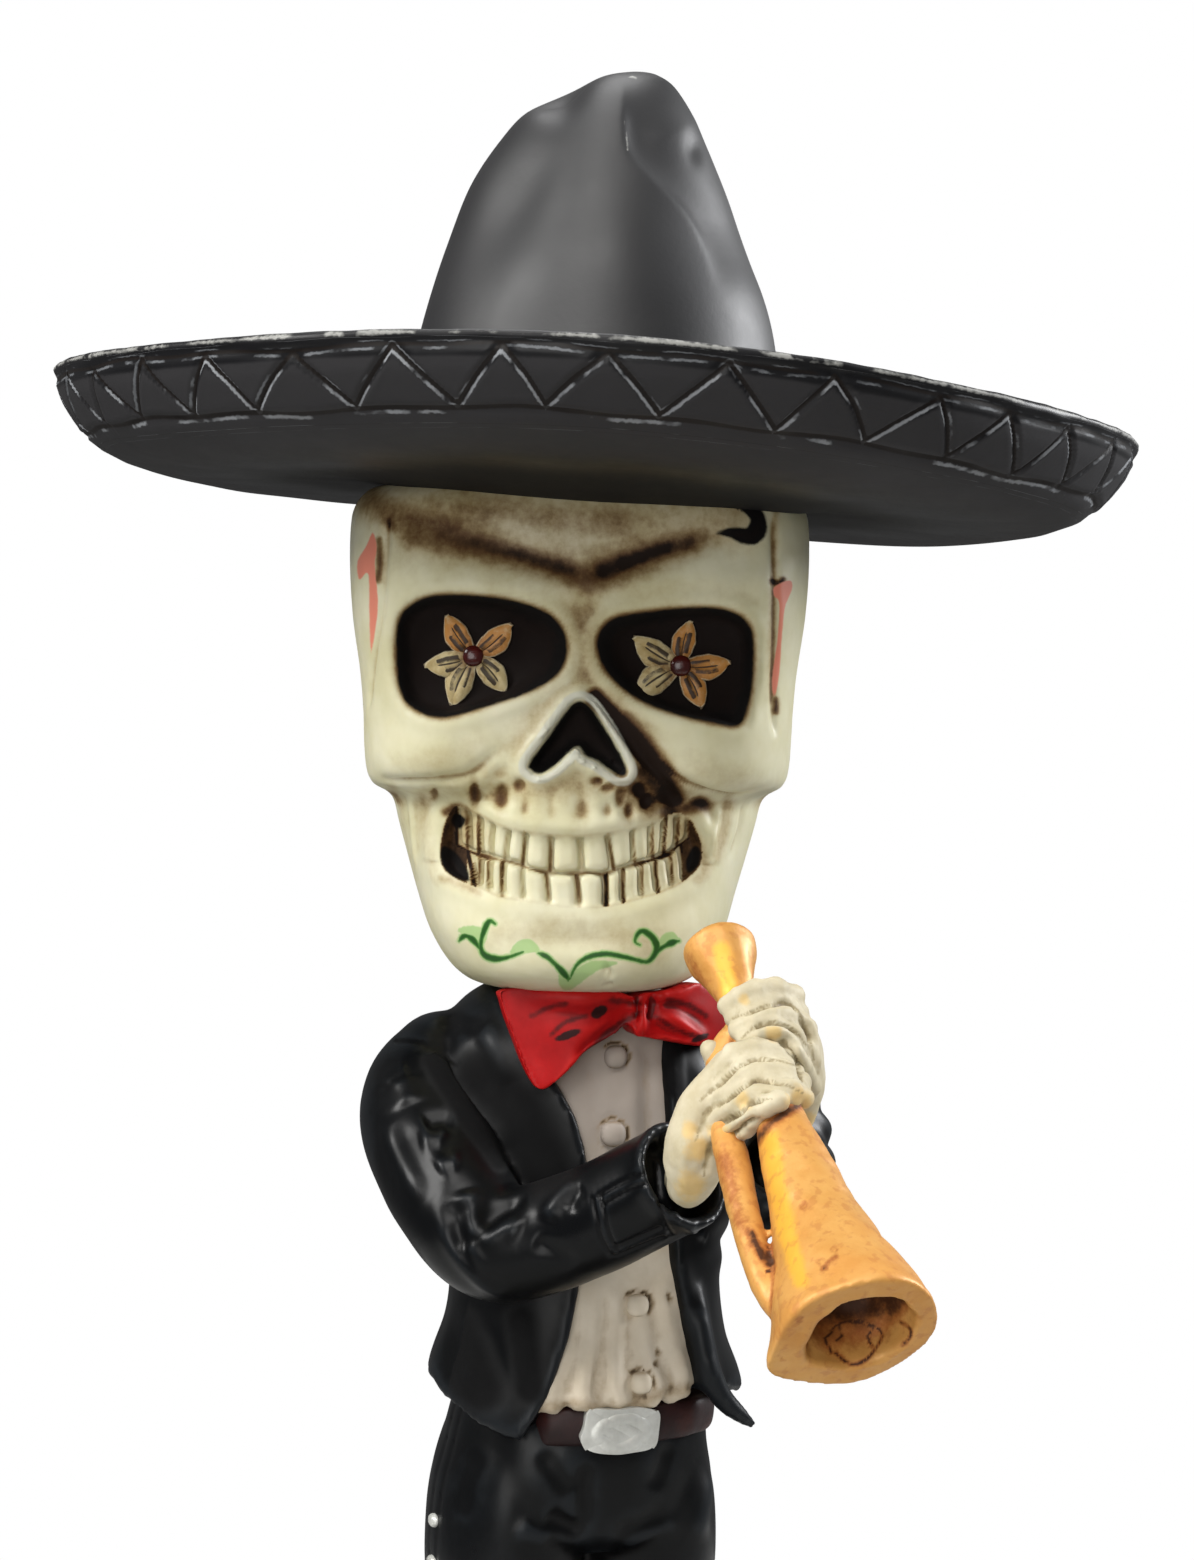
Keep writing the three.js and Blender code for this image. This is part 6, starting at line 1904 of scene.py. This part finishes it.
def makeTrumpet():
    profile = np.array(trumpet["profile"], float)
    steps = np.append(0, np.cumsum(np.linalg.norm(np.diff(profile, axis=0), axis=1)))
    marks = steps / steps[-1]
    tall = trumpet["tall"]
    fine = np.linspace(0, 1, tall + 1)
    lengths = np.interp(fine, marks, profile[:, 0])
    radii = np.interp(fine, marks, profile[:, 1])

    def shape(turn, rise):
        row = np.round(rise * tall).astype(int)
        length, radius = lengths[row], radii[row]
        uneven = 1 + 0.015 * np.sin(5 * turn + length)
        return np.stack([np.cos(turn) * radius * uneven, np.sin(turn) * radius * uneven, length], axis=1)

    cone = ball("trumpet", 160, tall, shape)
    way = Vector(trumpet["way"]).normalized()
    start = Vector(trumpet["start"])
    cone.data.transform(shiftBy(start) @ way.to_track_quat("Z", "X").to_matrix().to_4x4())
    # the bell has one blunt corner at its lower left
    spots = spotsOf(cone)
    along = (spots - np.array(start)) @ np.array(way)
    out = spots - np.array(start) - along[:, None] * np.array(way)
    down = np.cross(rightWay, np.array(way))
    down = down if down[2] < 0 else -down
    turn = np.degrees(np.arctan2(out @ down, -(out @ rightWay)))
    late = ease(along, 33, 41.4)
    grow = 0.12 * bell(turn - trumpet["corner"], 17) - 0.03 * bell(turn - trumpet["corner"] - 50, 24)
    spots += out * (late * grow)[:, None]
    # the mouth is off centre, so that the rim is broader at the left
    mouth = (np.linalg.norm(out, axis=1) < 4.7) * ease(along, 35.5, 39)
    spots += (mouth * trumpet["offCentre"])[:, None] * rightWay
    moveTo(cone, spots)
    bend = limb("bend", traced(trumpet["bend"]), 36, 110, 0.06)
    horn = weld("trumpet", [cone, bend], trumpet["voxel"])
    relax(horn, 1)
    spots = spotsOf(horn)
    seen = inPhoto(spots, bodyPlace)
    normal = spotsOf(horn, "normal")
    faces = normal @ awayWay < 0.1
    along = (spots - np.array(start)) @ np.array(way)
    axis = np.array(start) + along[:, None] * np.array(way)
    fromAxis = np.linalg.norm(spots - axis, axis=1)
    inside = (along > 34) & ((((spots - axis) * normal).sum(axis=1) < 0) | (fromAxis < 3.9))
    sink = np.zeros(len(spots))
    for px, py, wide in trumpet["pits"]:
        away = toSpot(seen, px, py) / wide
        sink += 0.12 * bell(away, 1) * (0.4 + wander(spots, 0.7, 4))
    sink += 0.045 * wander(spots, 1.8, 3) + 0.03 * wander(spots, 0.9, 8)
    sink = np.where(inside, 0.16 * wander(spots, 1.5, 7), sink)
    push(horn, -sink * (faces | inside))
    relax(horn, 1)
    crease = hollows(horn, 14)
    # painted highlight: paler gold down the trumpet's left side
    goldHighlight = smear(seen, [(*line, 1) for line in trumpet["goldHighlight"]], 12)
    # brown wash and painted shade along the listed lines and in the creases
    glazeAndShade = np.where(faces, smear(seen, trumpet["glazeAndShade"], 12), 0.1) + 6 * np.clip(crease, 0, 0.1)
    for px, py, wide in trumpet["pits"]:
        away = toSpot(seen, px, py) / wide
        glazeAndShade = np.maximum(glazeAndShade, 0.5 * bell(away - 0.7, 0.5))
    # painted shade inside the bell, darker deeper in and below its upper rim
    deep = ease(41.2 - along, 0.1, 2.4) * (0.64 + 0.36 * ease(trumpet["darkAbove"] - seen[:, 1], 0, 22))
    deep = np.maximum(deep, smear(seen, [(line, 2.2, 1.1) for line in trumpet["cracks"]], 40))
    glazeAndShade = np.where(inside, np.maximum(glazeAndShade, deep), glazeAndShade)
    note(horn, "glazeAndShade", np.clip(glazeAndShade, 0, 1.1))
    note(horn, "goldHighlight", np.where(faces & ~inside, goldHighlight, 0.15))
    place(horn, bodyPlace, "body_with_base", brassPaint)


# Boots, base and neck

footing = {
    "boot": [
        (6.7, 4.2, 3.4, 3.9, 3.3), (6.9, 0, 3.6, 4.1, 3.4), (7.2, -5, 2.9, 4.1, 2.8),
        (7.5, -8.6, 2.3, 3.6, 2.1),
    ],
    "sole": (3.9, 7.6, 0.8),
    "radius": 28.9,
    "bevel": 1.1,
    "solePlace": (7.1, -2.4, 0.5),
    "heel": (3.3, 2.4, 1.5),
    "heelPlace": (6.8, 3.6, 1.0),
    "bootVoxel": 0.36,
    "baseVoxel": 0.7,
    "neck": [(80, 5.8, 5.8, 5.8, 2, 2, 0), (88.7, 5.9, 5.9, 5.9, 2, 2, 0), (88.8, 5.6, 5.6, 5.6, 2, 2, 0)],
}


def makeFooting():
    boots = []
    for side in (-1, 1):
        boot = limb(f"boot_{side}", [(x * side, y, z, wide, deep) for x, y, z, wide, deep in footing["boot"]],
                    around=48, tall=70, cap=0.2)
        boots.append(boot)
        for name, around in (("sole", 60), ("heel", 40)):
            block = rounded(f"{name}_{side}", footing[name], power=5, around=around, tall=16)
            x, y, z = footing[name + "Place"]
            block.data.transform(shiftBy((x * side, y, z)))
            boots.append(block)
    pair = weld("boots", boots, footing["bootVoxel"])
    relax(pair, 3)
    note(pair, "crease", hollows(pair, 10))
    place(pair, bodyPlace, "body_with_base", bootPaint)

    bpy.ops.mesh.primitive_cylinder_add(vertices=200, radius=footing["radius"], depth=figure["baseHeight"])
    base = bpy.context.active_object
    base.name = "round_base"
    base.data.transform(shiftBy((0, 0, -figure["baseHeight"] / 2)))
    modify(base, "BEVEL", width=footing["bevel"], segments=5, limit_method="ANGLE")
    remesh(base, footing["baseVoxel"])
    relax(base, 2)
    spots = spotsOf(base)
    top = ease(spots[:, 2], -0.6, -0.1)
    reach = np.hypot(spots[:, 0], spots[:, 1])
    swell = (0.16 * wander(spots, 7, 3) + 0.07 * wander(spots, 2.2, 5)) * top * ease(27.5 - reach, 0, 3)
    spots[:, 2] += swell - 0.12 * top
    moveTo(base, spots)
    note(base, "crease", hollows(base, 12))
    place(base, bodyPlace, "body_with_base", basePaint)

    neck = tower("neck", footing["neck"], 72, 24, cap=0.2)
    note(neck, "glazeAndShade", np.full(len(spotsOf(neck)), 0.4))
    place(neck, bodyPlace, "body_with_base", fingerPaint)
    print("boots, base and neck ready")


# Near-black satin acrylic, matt and darker in patches of painted shade, with painted highlights along the
# folds and painted shade in the creases
clothPaint = paintOf(
    "black_satin_acrylic", coat="#07080a", coatTwo="#040506", rough=0.27, shine=0.19, mottle=9, grain=0.9,
    bump=0.1, swell=0.06,
    layers=[
        # painted highlight along the ridges of the folds, then painted shade in the creases
        layer("crease", -0.02, -0.13, "#23272b", ragged=0.02, cover=0.5, rough=0.34),
        layer("crease", 0.03, 0.12, "#050506", ragged=0.01, cover=0.9, rough=0.4),
        # matt patches, darkened as painted shade
        layer("dullAndShaded", 0.2, 0.9, "#050506", ragged=0.05, cover=0.9, rough=0.85),
    ],
)

# Matt cream acrylic under a thin brown wash, greyer at the top as painted shade below the chin
shirtPaint = paintOf(
    "matt_cream_acrylic", coat="#d6ccba", coatTwo="#c9bda8", rough=0.5, shine=0.25, mottle=5, grain=0.7,
    bump=0.25,
    layers=[
        layer("upper", 12.6, 11.2, "#9a9089", cover=0.85),
        layer("glazeAndShade", 0.12, 0.75, "#8a7350", ragged=0.16, patchy=0.25, cover=0.75),
        layer("glazeAndShade", 0.5, 1.0, "#40301f", ragged=0.2, patchy=0.3, cover=0.9),
    ],
)

# Scarlet satin acrylic, with painted highlights on the ridges and painted shade in the creases, streaked with
# thinned black and painted fold shade
tiePaint = paintOf(
    "scarlet_satin_acrylic", coat="#ac070a", coatTwo="#920508", rough=0.4, shine=0.17, mottle=5, grain=0.6,
    bump=0.15,
    layers=[
        # painted highlight on the ridges, then painted shade in the creases
        layer("crease", -0.03, -0.14, "#d02420", ragged=0.03, cover=0.4),
        layer("crease", 0.04, 0.16, "#4a0506", ragged=0.02, cover=0.85),
        layer("strokeAndShade", 0.25, 1.1, "#2a0406", ragged=0.35, patchy=0.3, cover=0.8),
        layer("spot", 0.15, 0.55, "#120506", ragged=0.3, cover=0.95),
    ],
)

# Dark maroon acrylic, a little redder where it wore
beltPaint = paintOf(
    "dark_maroon_acrylic", coat="#2c1616", coatTwo="#1e0f0f", rough=0.45, shine=0.3, mottle=4, grain=0.5,
    bump=0.2,
    layers=[
        layer("crease", 0.0, 0.02, "#4a1f16", ragged=0.01, cover=0.5),
    ],
)

# Silver paint over resin, dull in its hollows
bucklePaint = paintOf(
    "rubbed_silver_paint", coat="#cfd0cb", coatTwo="#b9bab4", rough=0.36, metal=0.35, mottle=2, grain=0.4,
    bump=0.35,
    layers=[
        layer("crease", 0.01, 0.06, "#6c6a62", ragged=0.02, cover=0.7),
    ],
)

# Dry bone-coloured acrylic under a brown wash with painted shade in the creases, yellowed in places
fingerPaint = paintOf(
    "dry_bone_acrylic", coat="#cdc4aa", coatTwo="#b9ae90", rough=0.5, shine=0.22, mottle=3, grain=0.5,
    bump=0.3, soft=0.05,
    layers=[
        layer("yellow", 0.4, 0.95, "#dcb665", ragged=0.2, patchy=0.3, cover=0.6),
        layer("glazeAndShade", 0.12, 0.6, "#857653", ragged=0.12, patchy=0.2, cover=0.8),
        layer("glazeAndShade", 0.5, 0.95, "#574630", ragged=0.15, patchy=0.2, cover=0.9),
    ],
)

# Orange gold with a pearl sheen and a painted gold highlight, browned where the wash and painted shade
# gathered
brassPaint = paintOf(
    "orange_gold_pearl_paint", coat="#d9a35a", coatTwo="#cc8f45", rough=0.4, metal=0.15, shine=0.4,
    mottle=4, grain=0.5, bump=0.3,
    layers=[
        # painted highlight in bright gold
        layer("goldHighlight", 0.3, 0.95, "#eeb23a", ragged=0.15, patchy=0.25, cover=0.85),
        layer("goldHighlight", -2.0, -1.0, "#b5713c", ragged=0.1, cover=0.4, breaks=(0.9, 0.54, 0.64)),
        layer("glazeAndShade", 0.15, 0.7, "#9c5222", ragged=0.3, patchy=0.3, cover=0.75, rough=0.5),
        layer("glazeAndShade", 0.6, 1.05, "#32190c", ragged=0.2, patchy=0.4, cover=0.9, rough=0.55),
    ],
)

# Black gloss acrylic
bootPaint = paintOf(
    "black_gloss_acrylic", coat="#141414", coatTwo="#0c0c0d", rough=0.2, mottle=5, grain=0.7, bump=0.12,
)

# Dark umber acrylic, rubbed paler along its edges
basePaint = paintOf(
    "dark_umber_acrylic", coat="#332a22", coatTwo="#251f1a", rough=0.45, mottle=8, grain=0.8, bump=0.3,
    layers=[
        layer("crease", -0.02, -0.1, "#5a4c3d", ragged=0.03, cover=0.6),
    ],
)

makeJacket()
makeShirt()
makeTie()
makeBelt()
makeTrousers()
makeHand("right")
makeHand("left")
makeTrumpet()
makeFooting()
